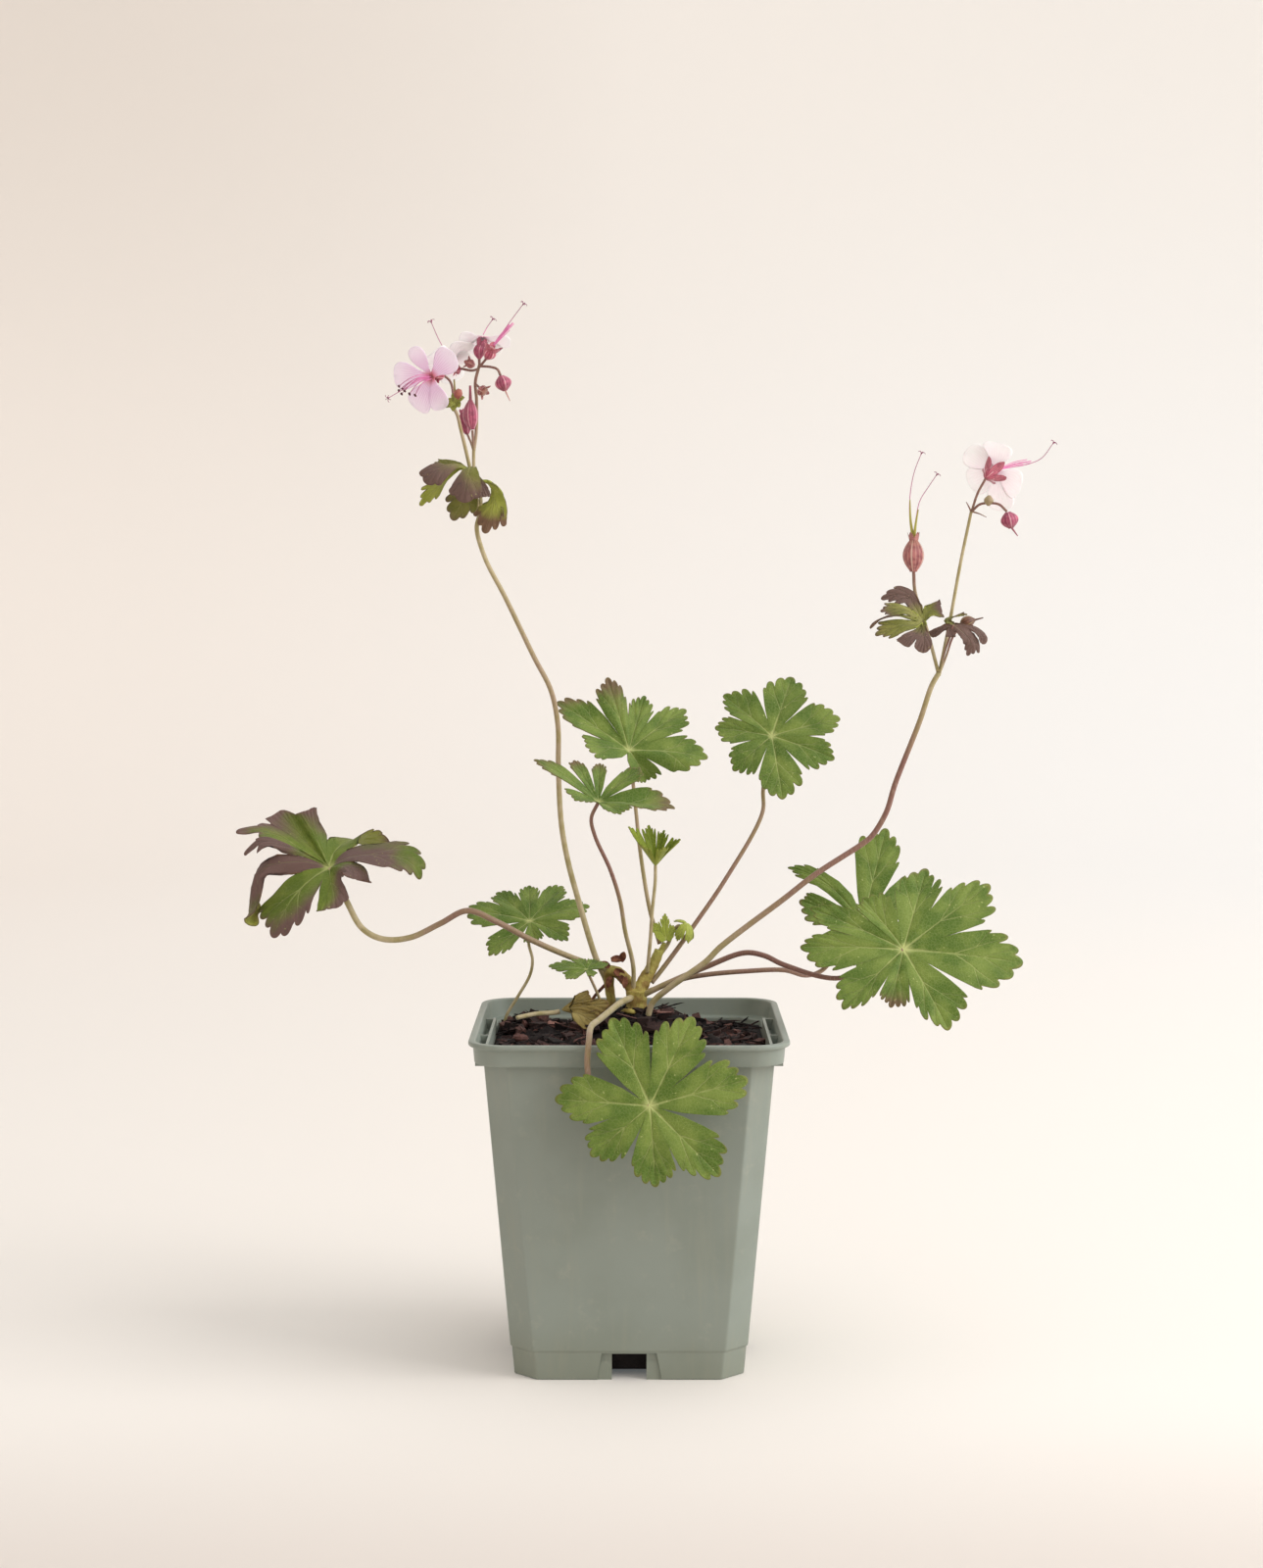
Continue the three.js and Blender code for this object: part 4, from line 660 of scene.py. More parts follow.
SLIT, OPEN_SLIT, SHORT_SLIT = 0.26, 0.12, 0.5
BLADE = 0.35
TOOTHED, SLIT_SIDE = 0.93, 0.07
# A tooth is its middle and half width in shares of the lobe's half angle, with its reach in
# shares of the lobe's length between them.
MANY_TEETH = [(0, 1, 0.19), (0.29, 0.945, 0.17), (0.58, 0.885, 0.16), (0.83, 0.775, 0.13)]
FEW_TEETH = [(0, 1, 0.22), (0.34, 0.92, 0.18), (0.72, 0.87, 0.21)]
TOOTH_DEPTH = 0.15
# A vein's start, end and half width in shares of the lobe's length. It has a mirror image.
VEINS = [((0, 0), (0.97, 0), 0.014), ((0.42, 0), (0.845, 0.279), 0.008), ((0.66, 0), (0.918, 0.15), 0.006),
         ((0.6, 0.118), (0.69, 0.33), 0.005)]
LOBE_ANGLE = math.radians(30)
# A lobe's points stand across it from slit to slit, and in rings from the stalk to its edge.
HALF_LOBE = np.linspace(0, 1, 36)
ACROSS = np.concatenate([-HALF_LOBE[:0:-1], HALF_LOBE])[:, None]
RINGS = np.array([0, 0.08, 0.2, 0.33, 0.46, 0.58, 0.69, 0.78, 0.86, 0.92, 0.97, 1])[None]
MARGIN_FLUSH = 0.3 * RINGS ** 12

LEAVES = {
    "leaf_left_low": dict(centre=(-36.6, 33, 150.6), up=(0, -0.55, 0.83), lobes=[
        (340, 16, -5, -30), (24, 24, 8, -12), (57, 22, 12, -5), (92, 18, 14, 0), (130, 20, 10, -5),
        (170, 25, 12, -5), (224, 21, -5, -20, 0, 0, 0, 20), (285, 9, -10, -30)]),
    "leaf_small": dict(
        centre=(-15.2, 1, 137.2), up=(0, -0.32, 0.95), teeth=FEW_TEETH, spread=28, pleat=0.5, lobes=[
        (12, 8, 15, 5), (65, 6.5, 15, 5), (115, 7, 15, 5), (168, 14, 8, -8), (215, 9, 0, -15),
        (300, 5, 0, -10)]),
    "leaf_top_middle": dict(centre=(-0.1, 18, 214.5), up=(0.05, -0.72, 0.69), lobes=[
        (0, 29, 5, -15), (42, 28, 12, -5), (76, 23, 20, 5, 3), (108, 29, 25, 15, 0, 0.75),
        (147, 32, 15, 5, 2, 0.5, 0, 19), (196, 18, 28, 18), (312, 14, -20, -70)]),
    "leaf_under_middle": dict(centre=(-10.8, -20, 198.7), up=(0, -0.3, 0.95), lobes=[
        (352, 27, 5, -8, 0, 0.6), (35, 20, 32, 20, 0, 0.4, 0, 17), (88, 16, 45, 30, 0, 0.5, 0, 17),
        (128, 18, 45, 33, 0, 0.6, 0, 17), (168, 27, 42, 22, 0, 0.5, 0, 16), (230, 13, 30, 10),
        (308, 13, 12, -15)]),
    "leaf_top_right": dict(centre=(51.9, 28, 219.1), up=(0, -0.84, 0.54), lobes=[
        (17, 26.5, 5, -10), (72, 26, 5, -5), (135, 24.5, 5, -5), (170, 21, 5, -5), (224, 20, 5, -10),
        (277, 26.5, 5, -5), (338, 24.5, 5, -10)]),
    "leaf_right_back": dict(centre=(85.5, 30, 150.2), up=(0, -0.8, 0.6), lobes=[
        (30, 28, 5, -5), (75, 40, 10, 0, 0, 0, 0, 19), (124, 36, 10, -10, 3, 0, 14, 9),
        (156, 25, 5, -10, 0, 0.4), (225, 22, 5, -20), (280, 24, 0, -20), (336, 26, 0, -20)]),
    "leaf_right_front": dict(centre=(95.5, -22, 147.5), up=(0, -0.86, 0.5), spread=28, lobes=[
        (38, 40, 5, -5), (73, 33, 5, -10, 0, 0.25), (124, 24, 5, -10), (153, 36, 5, -10), (178, 36, 5, -8),
        (225, 31, 5, -10), (256, 22, 5, -10, 0, 0.7), (296, 33, 5, -10), (354, 42, 5, -10)]),
    "leaf_hanging": dict(centre=(7, -64.5, 100.5), up=(0, -0.98, 0.2), opening=0.68, spread=25, lobes=[
        (15, 34, 3, -6), (64, 33, 3, -3), (114, 32, 3, -3), (176, 32, 3, -6), (220, 26, 3, -6),
        (274, 27, 3, -6), (315, 33, 3, -6)]),
    "leaf_young": dict(centre=(9.4, 10, 173.6), up=(0, -0.2, 0.98), teeth=FEW_TEETH, pleat=0.6, lobes=[
        (15, 13, 48, 42), (60, 13, 60, 62), (110, 15, 60, 64), (170, 17, 52, 58), (225, 11, 52, 55),
        (300, 10, 52, 58)]),
    "leaf_bud": dict(centre=(13.2, 11.6, 147), up=(0, -0.95, 0.3), teeth=FEW_TEETH, pleat=0, lobes=[
        (60, 5.5, 5, 0), (92, 9, 5, 0), (128, 7, 5, 0)]),
    "leaf_curled": dict(
        centre=(20.7, 11.4, 152.6), up=(0.25, -0.35, 0.9), teeth=FEW_TEETH, pleat=0.3, lobes=[
        (10, 8, -20, -95), (72, 7, -20, -85), (128, 6, 0, -40), (240, 8, -20, -95), (302, 8, -20, -95)]),
}


def frame_of(up):
    """A right-handed frame whose third axis is `up` and whose first leans to +X."""
    third = np.array(up, float) / np.linalg.norm(up)
    first = np.array([1.0, 0, 0]) - third[0] * third
    first /= np.linalg.norm(first)
    return first, np.cross(third, first), third


def cut_edge(a, teeth, inner, opening, luck):
    """How far the blade reaches at the share `a` of a lobe's half angle: the outermost of its
    rounded teeth, each the end of an ellipse, and past them the side of the slit, which runs
    from `opening` in to `inner`. Luck shifts all teeth but the one at the tip."""
    reach = np.zeros_like(a)
    for k, (middle, top, half) in enumerate(teeth):
        shift, grow, widen = luck.uniform(-1, 1, 3) * (k > 0)
        u = np.abs(a - middle - 0.025 * shift) / (half * (1 + 0.12 * widen))
        drop = 1 - np.sqrt(np.clip(1 - u ** 2, 0, 1)) + 3 * np.maximum(u - 1, 0)
        reach = np.maximum(reach, top + 0.02 * grow - TOOTH_DEPTH * drop)
    side = opening + np.where(a < TOOTHED, 3 * (TOOTHED - a), (inner - opening) * (a - TOOTHED) / SLIT_SIDE)
    return np.minimum(reach, side)


def vein_distance(x, y):
    """Distance to the nearest vein, in shares of the lobe's length."""
    nearest = np.full(np.broadcast(x, y).shape, 9.0)
    for (x0, y0), (x1, y1), _ in VEINS:
        run, rise = x1 - x0, y1 - y0
        t = np.clip(((x - x0) * run + (np.abs(y) - y0) * rise) / (run ** 2 + rise ** 2), 0, 1)
        nearest = np.minimum(nearest, np.hypot(x - x0 - t * run, np.abs(y) - y0 - t * rise))
    return nearest


def quilting(x, y, reach):
    """How far the blade bulges between its veins: 0 on a vein and at the stalk, else up to 1."""
    return np.minimum(1, vein_distance(x, y) / 0.07) * np.minimum(1, 3 * reach)


def blade(centre, up, lobes, spread=30, teeth=MANY_TEETH, opening=0.6, pleat=1.2, wave=0.45, quilt=0.35):
    """A lobed blade round the top of its stalk. A lobe is (direction, length, rise at its base,
    rise at its tip, fold, flush, sway, widest half angle), with the last four left out where
    they are 0, 0, 0 and the leaf's own. Its ray bends evenly from one rise to the other and
    turns sideways by the sway in all, and between two lobes the rays pass from one to the
    next. Added along the blade's normal are the pleat towards each slit, the fold of the
    lobe's sides, a random wave, and the quilting between veins."""
    e1, e2, n = frame_of(up)
    table = np.array(sorted(tuple(lobe) + (0, 0, 0, spread)[len(lobe) - 4:] for lobe in lobes), float)
    side, share_a = np.sign(ACROSS), np.abs(ACROSS)
    shapes = []
    for i, lobe in enumerate(table):
        before, after = table[i - 1], table[(i + 1) % len(table)]
        gap = np.where(ACROSS < 0, (lobe[0] - before[0]) % 360, (after[0] - lobe[0]) % 360)
        half, width = gap / 2, np.minimum(gap / 2, lobe[7])
        inner = np.where(gap > 2.3 * lobe[7], OPEN_SLIT, np.where(gap < 46, SHORT_SLIT, SLIT))
        past = (share_a - TOOTHED) / SLIT_SIDE
        offset = np.where(past <= 0, share_a * width, TOOTHED * width + past * (half - TOOTHED * width))
        share = offset / half
        w = share ** 2 / 2
        beside = np.where(ACROSS < 0, before, after)
        mixed = lobe[1:7] * (1 - w) + beside[:, 1:7] * w
        length, base, tip, fold, tint, sway = mixed.T[..., None]
        luck = [np.random.default_rng(int(7 * lobe[0] + k)) for k in (1, 2)]
        left, right = (cut_edge(share_a, teeth, inner, opening, one) for one in luck)
        reach = np.where(ACROSS < 0, left, right) * RINGS
        bend = np.radians(tip - base)
        bend = np.where(np.abs(bend) < 1e-6, 1e-6, bend)
        rise = np.radians(base) + bend * reach
        out = length * (np.sin(rise) - np.sin(np.radians(base))) / bend
        lift = length * (np.cos(np.radians(base)) - np.cos(rise)) / bend
        heading = np.radians(lobe[0] + side * offset + sway * reach ** 2)
        flat_x, flat_y = length * reach * np.cos(heading), length * reach * np.sin(heading)
        x, y = reach * np.cos(share_a * LOBE_ANGLE), side * reach * np.sin(share_a * LOBE_ANGLE)
        lift = lift + pleat * share * reach - fold * share ** 2 * reach
        waves = ripple(flat_x, flat_y, 7, int(length[0, 0])) * np.minimum(1, length / 20)
        lift = lift + wave * reach * waves
        lift = lift + quilt * np.minimum(1, length / 25) * quilting(x, y, reach)
        points = np.array(centre, float) + (out * np.cos(heading))[..., None] * e1
        points = points + (out * np.sin(heading))[..., None] * e2 + lift[..., None] * n
        flush = tint * reach ** 1.5 + (tint > 0) * MARGIN_FLUSH
        shapes.append(grid(points, np.stack([x, 0.5 + y], -1), margin=RINGS, flush=flush))
    return shapes


ROUND, POINTED = [(0, 1, 0.98)], [(0, 1, 0.3), (0.6, 0.8, 0.7)]
SQUARE, BLUNT = [(0, 1, 1.2)], [(0, 1, 0.5), (0.6, 0.93, 0.32), (0.9, 0.86, 0.2)]
DRAPED = {
    "leaf_left": dict(centre=(-108.3, 15, 172.3), up=(-0.1, -0.3, 0.95), teeth=MANY_TEETH, lobes=[
        ([(7.6, -1, 4), (16.9, -3, 5), (25.5, -4, 4.2), (31.1, -4, 1.2), (33.4, -3, -3.9)],
         [(0.5, -0.6, 0.6)], 21, 0, (-1.9, -0.9), 0.3),
        ([(1.3, 5, 5.2), (5.6, 11, 8.4), (13, 13, 9), (19.5, 11, 8), (23.5, 7, 6.6)],
         [(0.1, 0.3, 1), (0.1, 0.85, 0.5)], 19, 0, (0.3, 0.7), 0.42),
        ([(-3, 2, 6.6), (-6.6, 6, 13.4), (-9.4, 9, 19.8)], [(0.15, -0.75, 0.65)], 11, 0, (1.0, 0.3), 0.93,
         SQUARE),
        ([(-6, 3, 6), (-13.4, 8, 13.2), (-19.4, 10, 19.4)], [(0.15, -0.75, 0.65)], 11, 0, (0.3, 0.9), 0.8,
         SQUARE),
        ([(-7.5, 1, 4.9), (-16.8, 2, 10.5), (-25, 0, 13.7), (-33, -3, 13)], [(0.2, -0.6, 0.78)], 11, 0,
         (0.8, 0.4), 0.78, POINTED),
        ([(-8, 0, 4.4), (-17, -3, 8.8), (-24, -6, 10), (-29.4, -8, 5.2)], [(-0.2, -0.8, 0.55)], 7, 0,
         (1.4, 1.4), 0.35, POINTED),
        ([(-7.3, -1, 2.3), (-17.6, -3, 1.8), (-24.6, -4, 0.1), (-27, -5, -4.8), (-28.4, -4, -11.9),
          (-28, -3, -18), (-25.2, -5.5, -20)],
         [(-0.8, -0.6, 0.1), (-0.8, -0.6, 0.1), (-0.9, -0.3, 0), (0.1, 0.9, -0.3)],
         10, 40, (-2, -2), 0.3, ROUND),
        ([(-5.5, -5, -3.3), (-12, -10, -9.8), (-16, -12, -16.6), (-19.2, -12, -24)], [(-0.35, -0.85, 0.4)],
         27, 12, (0.1, 1.2), 0.3),
        ([(1, -5, -4), (2.4, -8, -8.7), (3.4, -10, -13.6)], [(0.1, -0.9, 0.4)], 24, 0, (0.1, 1.2), 0.62,
         BLUNT),
        ([(4.4, -4, 1), (7.6, -7, 0.6), (9.6, -9, -0.8), (9.6, -10, -3)], [(0.5, -0.7, 0.5)], 23, 0,
         (1.2, 1.2), 0.3, ROUND),
    ]),
    "bract_leaf_left": dict(centre=(-54.8, -10, 314.3), up=(-0.3, -0.6, 0.75), lobes=[
        ([(-4.1, 2, 1.2), (-8.4, 4, 2.2), (-13.4, 5, 2.4)], [(0, -0.5, 0.85)], 12, 0, (0.3, 0.3), 0.3),
        ([(-4, 1, 0.1), (-8.9, 1, -3.9), (-13.5, 1, -7.5), (-18.2, 1, -12.7)], [(0.3, 0.8, 0.5)], 14, 0,
         (0.1, 0.1), 0.3),
        ([(-4.8, -1, 1.6), (-9.4, -4, 0.4), (-13.2, -6, -2.2), (-15.6, -6, -5.4)], [(-0.3, -0.9, 0.3)], 20,
         10, (1.1, 1.0), 0.1, BLUNT),
        ([(-0.2, -4, 0.6), (-1, -8, -3), (-1.6, -10, -7.4), (-2.4, -10, -12)], [(-0.1, -0.97, 0.2)], 27, 15,
         (1.1, 0.6), 0.1, BLUNT),
        ([(1.6, -3, -3), (3.2, -6, -6.5), (4, -7, -10)], [(0.2, -0.95, 0.2)], 15, 0, (1.2, 1.4), 0.1, ROUND),
        ([(-0.3, 2, -5), (-2.8, 2, -10.5), (-5.2, 1, -14.4), (-6.9, 1, -17.8)], [(-0.3, -0.9, 0.2)], 32, 0,
         (0.45, 0.25), 0.12),
    ]),
    "bract_leaf_left_small": dict(centre=(-52.4, -10.2, 310.2), up=(0.3, -0.5, 0.8), lobes=[
        ([(2.4, 1.5, -0.2), (4.8, 1.5, -2.8), (5, 1.5, -8), (3.6, 1.5, -13), (1.8, 1.5, -18.2)],
         [(0.6, 0.6, 0.4), (0, 0.97, 0.1), (0, 0.97, 0.1)], 24, -12, (1.5, 1.5, 3), 0.5),
        ([(3.2, 2.4, -0.2), (6.2, 2.6, -3), (7, 2.6, -8), (6.4, 2.6, -15)], [(0.6, 0.7, 0.2)], 10, 0,
         (0.9, 0.9, 3), 0.12),
    ]),
    "bract_leaf_right": dict(centre=(103.1, -5, 261.3), up=(-0.2, -0.8, 0.6), lobes=[
        ([(1.6, 1.5, 2.6), (4, 2.5, 3.8), (7, 3, 4.2)], [(-0.1, -0.8, 0.6)], 25, 0, (0.6, 1.3, 1.4), 0.25,
         BLUNT),
        ([(-2.4, 2, 4.8), (-4.6, 3, 8.4), (-8.6, 3, 9.4), (-14.4, 3, 7.8)], [(0.1, -0.9, 0.4)], 17, 0,
         (1.4, 1.4), 0.2),
        ([(-4.5, -1, 3.2), (-9, -3, 4.3), (-15.2, -4, 3.6)], [(-0.1, -0.85, 0.5)], 13, 0, (0.3, 0.8), 0.2),
        ([(-4, -2, 0.9), (-10.2, -4, 2.1), (-15.4, -5, 0.6), (-18.9, -5, -2.5)], [(0, 0.3, 0.95)], 6, 0,
         (1, 1), 0.2, ROUND),
        ([(-3.3, -3, -1.3), (-8, -5, -1.5), (-12.6, -6, -2.9), (-17.2, -6, -4.7)], [(-0.1, -0.9, 0.4)], 16,
         0, (0.3, 0.3), 0.12),
        ([(-2, -4, -3.5), (-5.3, -7, -5.6), (-7.9, -8, -8)], [(-0.3, -0.9, 0.3)], 13, 0, (1.3, 1.3), 0.12,
         ROUND),
        ([(-0.4, -5, -4.2), (-0.4, -9, -7.3), (-1, -10, -10.8)], [(0, -0.95, 0.3)], 16, 0, (1.3, 1.3), 0.12,
         ROUND),
    ]),
    "bract_leaf_right_small": dict(centre=(113.5, -8, 260.1), up=(0.1, -0.7, 0.7), lobes=[
        ([(-2, 3, 1.5), (2, 4, 3.2), (5.3, 4, 3.8)], [(0, 0.5, 0.85)], 12, 0, (0.4, 0.4, 0), 0.2),
        ([(-4.4, 1, -1.7), (-7.7, 2, -4)], [(0, -0.8, 0.6)], 15, 0, (1, 1, 0), 0.3, ROUND),
        ([(-1.1, 0, -1.7), (-1.2, -1, -4)], [(0, -0.95, 0.3)], 20, 0, (1, 1, 0), 0.3, ROUND),
        ([(3.6, -1, -2.9), (6, -1, -6), (5, -1, -10.8)], [(0.1, -0.95, 0.3)], 22, 12, (0.9, 0.9, 0), 0.4),
        ([(6.9, 0, -1.1), (10.3, 0, -4), (11, 0, -6.8)], [(0.3, -0.8, 0.5)], 9, 10, (0.9, 0.9, 0), 0.12,
         ROUND),
    ]),
    "dead_leaf": dict(centre=(-24, 2, 122.6), up=(0, -0.7, 0.7), wave=1.4, quilt=0.6, lobes=[
        ([(4.6, -2, -1), (8.6, -3.4, -2.4), (12, -4.4, -4)], [(0, -0.8, 0.5)], 26, 0, (0.2, 0.4), 0.7, ROUND),
        ([(5.5, -1.4, 1.2), (10.6, -2, 2), (16.6, -2, 2.2)], [(0, -0.9, 0.4)], 24, 12, (0.4, 0.2), 0.9,
         BLUNT),
        ([(3, -0.4, 2), (6.4, -1, 3.4), (10.4, -1.6, 4)], [(0.1, -0.95, 0.3)], 22, 0, (0.2, 0.3), 0.3, BLUNT),
    ]),
}


def carried(table, at):
    """Vectors between the rows of a table, at row numbers that need not be whole."""
    return np.stack([np.interp(at, np.arange(len(table)), column) for column in table.T], -1)


def draped(centre, up, lobes, teeth=FEW_TEETH, wave=0.35, quilt=0.3):
    """A blade whose lobes each hang their own way, in order round the stalk. A lobe is (spine,
    faces, half angle, fold, flush of its two sides, depth of the slit after it, teeth). Its
    flat wedge is laid on a smooth curve from the centre through the spine: the distance out
    becomes distance along the curve, and the distance across runs along a side vector that is
    square to the curve and to the face, which turns evenly from the blade's own through the
    lobe's. The fold bends both halves down about the midrib, and as far out as the slit each
    surface is mixed with its neighbour's. The flush grows outwards by a power of the reach, or
    fades outwards where it is below zero, and the margin has some of its own."""
    share, knots = np.abs(ACROSS), 32
    curves = [smooth_route([(0, 0, 0), *lobe[0]], knots) for lobe in lobes]
    lengths = [np.linalg.norm(np.diff(curve, axis=0), axis=1).sum() for curve in curves]

    def laid(k, offset, distance, lift):
        along = np.gradient(curves[k], axis=0)
        along /= np.linalg.norm(along, axis=1, keepdims=True)
        t = np.linspace(0, 1, knots + 1)
        faces = np.array([up, *lobes[k][1]], float)
        face = carried(faces, t * (len(faces) - 1))
        face -= (face * along).sum(1, keepdims=True) * along
        face /= np.linalg.norm(face, axis=1, keepdims=True)
        x, y = distance * np.cos(offset), distance * np.sin(offset)
        place, sideways, normal = (
            carried(table, x / lengths[k] * knots) for table in (curves[k], np.cross(face, along), face))
        fold = math.radians(lobes[k][3])
        lift = lift - (np.hypot(y, 1) - 1) * math.sin(fold)
        return place + (y * math.cos(fold))[..., None] * sideways + lift[..., None] * normal

    shapes = []
    for i, (_, _, half, _, tint, _, *own_teeth) in enumerate(lobes):
        before, after = i - 1, (i + 1) % len(lobes)
        w = share ** 2 / 2
        length = lengths[i] * (1 - w) + np.where(ACROSS < 0, lengths[before], lengths[after]) * w
        slit = np.where(ACROSS < 0, lobes[before][5], lobes[i][5])
        luck = [np.random.default_rng(10 * i + k) for k in (1, 2)]
        cut = own_teeth[0] if own_teeth else teeth
        left, right = (cut_edge(share, cut, slit, np.maximum(slit, 0.62), one) for one in luck)
        reach = np.where(ACROSS < 0, left, right) * RINGS
        distance, offset = length * reach, np.radians(half * ACROSS)
        x, y = reach * np.cos(ACROSS * LOBE_ANGLE), reach * np.sin(ACROSS * LOBE_ANGLE)
        small = np.minimum(1, length / 22)
        lift = small * wave * reach * ripple(distance * np.cos(offset), distance * np.sin(offset), 6, 30 + i)
        lift = lift + small * quilt * quilting(x, y, reach)
        from_before = laid(before, offset + math.radians(half + lobes[before][2]), distance, lift)
        from_after = laid(after, offset - math.radians(half + lobes[after][2]), distance, lift)
        beside = np.where((ACROSS < 0)[..., None], from_before, from_after)
        web = (w * (1 - np.clip((reach - slit) / 0.2, 0, 1) ** 2))[..., None]
        points = centre + laid(i, offset, distance, lift) * (1 - web) + beside * web
        flush = (tint[0] * (1 - ACROSS) + tint[1] * (1 + ACROSS)) / 2
        grown = reach ** (tint[2] if len(tint) > 2 else 0.8)
        flush = np.where(flush < 0, -flush * (1 - reach) ** 0.7 * np.minimum(1, reach / 0.12), flush * grown)
        shapes.append(grid(points, np.stack([x, 0.5 + y], -1), margin=RINGS, flush=flush + MARGIN_FLUSH))
    return shapes


def vein_mask(paint, x, y):
    """1 on the veins and 0 off them, each thinner towards its end, with a soft edge."""
    lines = None
    for (x0, y0), (x1, y1), width in VEINS:
        here = paint.node("CombineXYZ", {0: x, 1: y})
        start = paint.node("VectorMath", {0: here, 1: (x0, y0, 0)}, operation="SUBTRACT")
        run = np.array([x1 - x0, y1 - y0, 0])
        t = paint.node("VectorMath", {0: start, 1: run / (run @ run)}, output=1, operation="DOT_PRODUCT")
        t = paint.node("Clamp", {0: t})
        foot = paint.node("VectorMath", {0: tuple(run), "Scale": t}, operation="SCALE")
        away = paint.node("VectorMath", {0: start, 1: foot}, output=1, operation="DISTANCE")
        thin = paint.ramp(t, -0.65 * width, width)
        line = paint.rest(paint.step(paint.math("DIVIDE", away, thin), 0.35, 1.5))
        lines = line if lines is None else paint.math("MAXIMUM", lines, line)
    return lines


def leaf_skin(name, dark, light, vein, margin, flush, vein_strength, roughness=0.55):
    """A blade's skin: mottled dark to light, painted darker beside the slits as the shade of the
    pleats there, with a net, a flush, veins that fade outwards and under the flush, pale specks and a thin
    margin."""
    paint = Paint(name, Roughness=roughness, Specular_IOR_Level=0.25, Sheen_Weight=0.08, Sheen_Roughness=0.5)
    where = paint.place()
    x, y, _ = paint.flat()
    y = paint.math("ABSOLUTE", paint.math("SUBTRACT", y, 0.5))
    wander = paint.ramp(paint.noise(where, 4, 2), 0.03, -0.015)
    veins = vein_mask(paint, x, paint.math("ABSOLUTE", paint.plus(y, wander)))
    net = paint.node("TexVoronoi", {"Vector": where, "Scale": 0.9}, feature="DISTANCE_TO_EDGE")
    net = paint.rest(paint.step(net, 0.0, 0.12))
    soft = paint.noise(where, 9, 3)
    fine = paint.noise(where, 0.5, 3, 0.6)
    painted_slit_shade = paint.step(paint.math("DIVIDE", y, paint.math("MAXIMUM", x, 0.02)), 0.2, 0.5)
    flushed_here = paint.step(paint.plus(paint.mark("flush"), paint.ramp(soft, 0.8, -0.4)), 0.28, 0.85)
    fade = paint.ramp(x, -0.75 * vein_strength, vein_strength)
    fade = paint.times(fade, paint.ramp(flushed_here, -0.72, 1.0))
    middle = paint.rest(paint.step(x, 0.01, 0.1))
    speck = paint.step(paint.noise(where, 1.1, 1), 0.73, 0.78)
    rim = paint.plus(paint.mark("margin"), paint.ramp(paint.noise(where, 2.5, 3), 0.1, -0.05))
    colour = paint.mix(paint.step(soft, 0.36, 0.64), dark, light)
    # Painted shade: the blade is laid darker beside the slits, where the pleats fold away from the light.
    colour = paint.lay(colour, dark, painted_slit_shade, 0.35)
    colour = paint.lay(colour, light, paint.step(fine, 0.45, 0.75), 0.3)
    colour = paint.lay(colour, vein, net, 0.12)
    colour = paint.lay(colour, flush, flushed_here)
    colour = paint.lay(colour, vein, veins, fade)
    colour = paint.lay(colour, vein, middle, paint.ramp(flushed_here, -0.5, 0.75))
    colour = paint.lay(colour, vein, speck, 0.55)
    colour = paint.lay(colour, margin, paint.step(rim, 0.965, 1.0), 0.4)
    height = paint.math("SUBTRACT", paint.times(fine, 0.5), paint.plus(veins, paint.times(net, 0.3)))
    return paint.finish(colour, height, 0.16)


# Dark, light, vein, margin and flush colours, how strongly the veins show, and a roughness
# where it isn't the usual one.
SKINS = {
    "green_blade": ((77, 104, 28), (115, 134, 56), (194, 200, 130), (128, 112, 60), (110, 90, 66), 0.48),
    "green_underside": ((128, 140, 62), (146, 156, 80), (190, 194, 132), (150, 140, 66), (136, 128, 66), 0.6),
    "bronze_blade": ((84, 104, 22), (114, 128, 46), (176, 182, 112), (116, 88, 72), (106, 82, 76), 0.6),
    "bronze_underside": ((140, 148, 52), (164, 168, 80), (190, 190, 112), (140, 112, 80), (112, 84, 64), 0.4),
    "olive_bract": ((104, 106, 38), (134, 132, 66), (172, 170, 108), (112, 86, 68), (108, 84, 76), 0.5),
    "fresh_blade": ((98, 114, 12), (124, 138, 26), (184, 196, 92), (140, 136, 50), (110, 106, 40), 0.5),
    "fresh_underside": ((144, 156, 56), (164, 174, 78), (196, 202, 114), (146, 144, 56), (116, 112, 46), 0.5),
    "withered_blade": ((134, 116, 62), (158, 142, 86), (182, 166, 114), (112, 84, 52), (106, 68, 46),
                       0.4, 0.8),
}
skins = {name: leaf_skin(name, *look) for name, look in SKINS.items()}


def sides(upper, lower):
    """The skins of a blade's two sides."""
    return [skins[upper], skins[lower]]


green = sides("green_blade", "green_underside"), "leaf"
olive = sides("olive_bract", "bronze_underside"), "bronze_leaf"
pale_shoot = sides("fresh_underside", "fresh_underside"), "young_leaf"
# The leaves that are neither green nor, as the bracts are, olive.
KINDS = {
    "leaf_left": (sides("bronze_blade", "bronze_underside"), "leaf"),
    "leaf_young": (sides("fresh_blade", "fresh_underside"), "young_leaf"),
    "leaf_bud": pale_shoot,
    "leaf_curled": pale_shoot,
    "dead_leaf": (sides("withered_blade", "withered_blade"), "dead_leaf"),
}
for leaves, shape in ((LEAVES, blade), (DRAPED, draped)):
    for name, leaf in leaves.items():
        both_sides, slot = KINDS.get(name, olive if name.startswith("bract") else green)
        make_piece(name + "_blade", shape(**leaf), both_sides, name, thickness=BLADE, outwards=False)

# ---------------------------------------------------------------- blooms
# Five separate petals on short claws round a rose-red throat, lilac-pink in the open bloom and
# nearly white in the older ones, with ten stamens and one long style that stand well out.

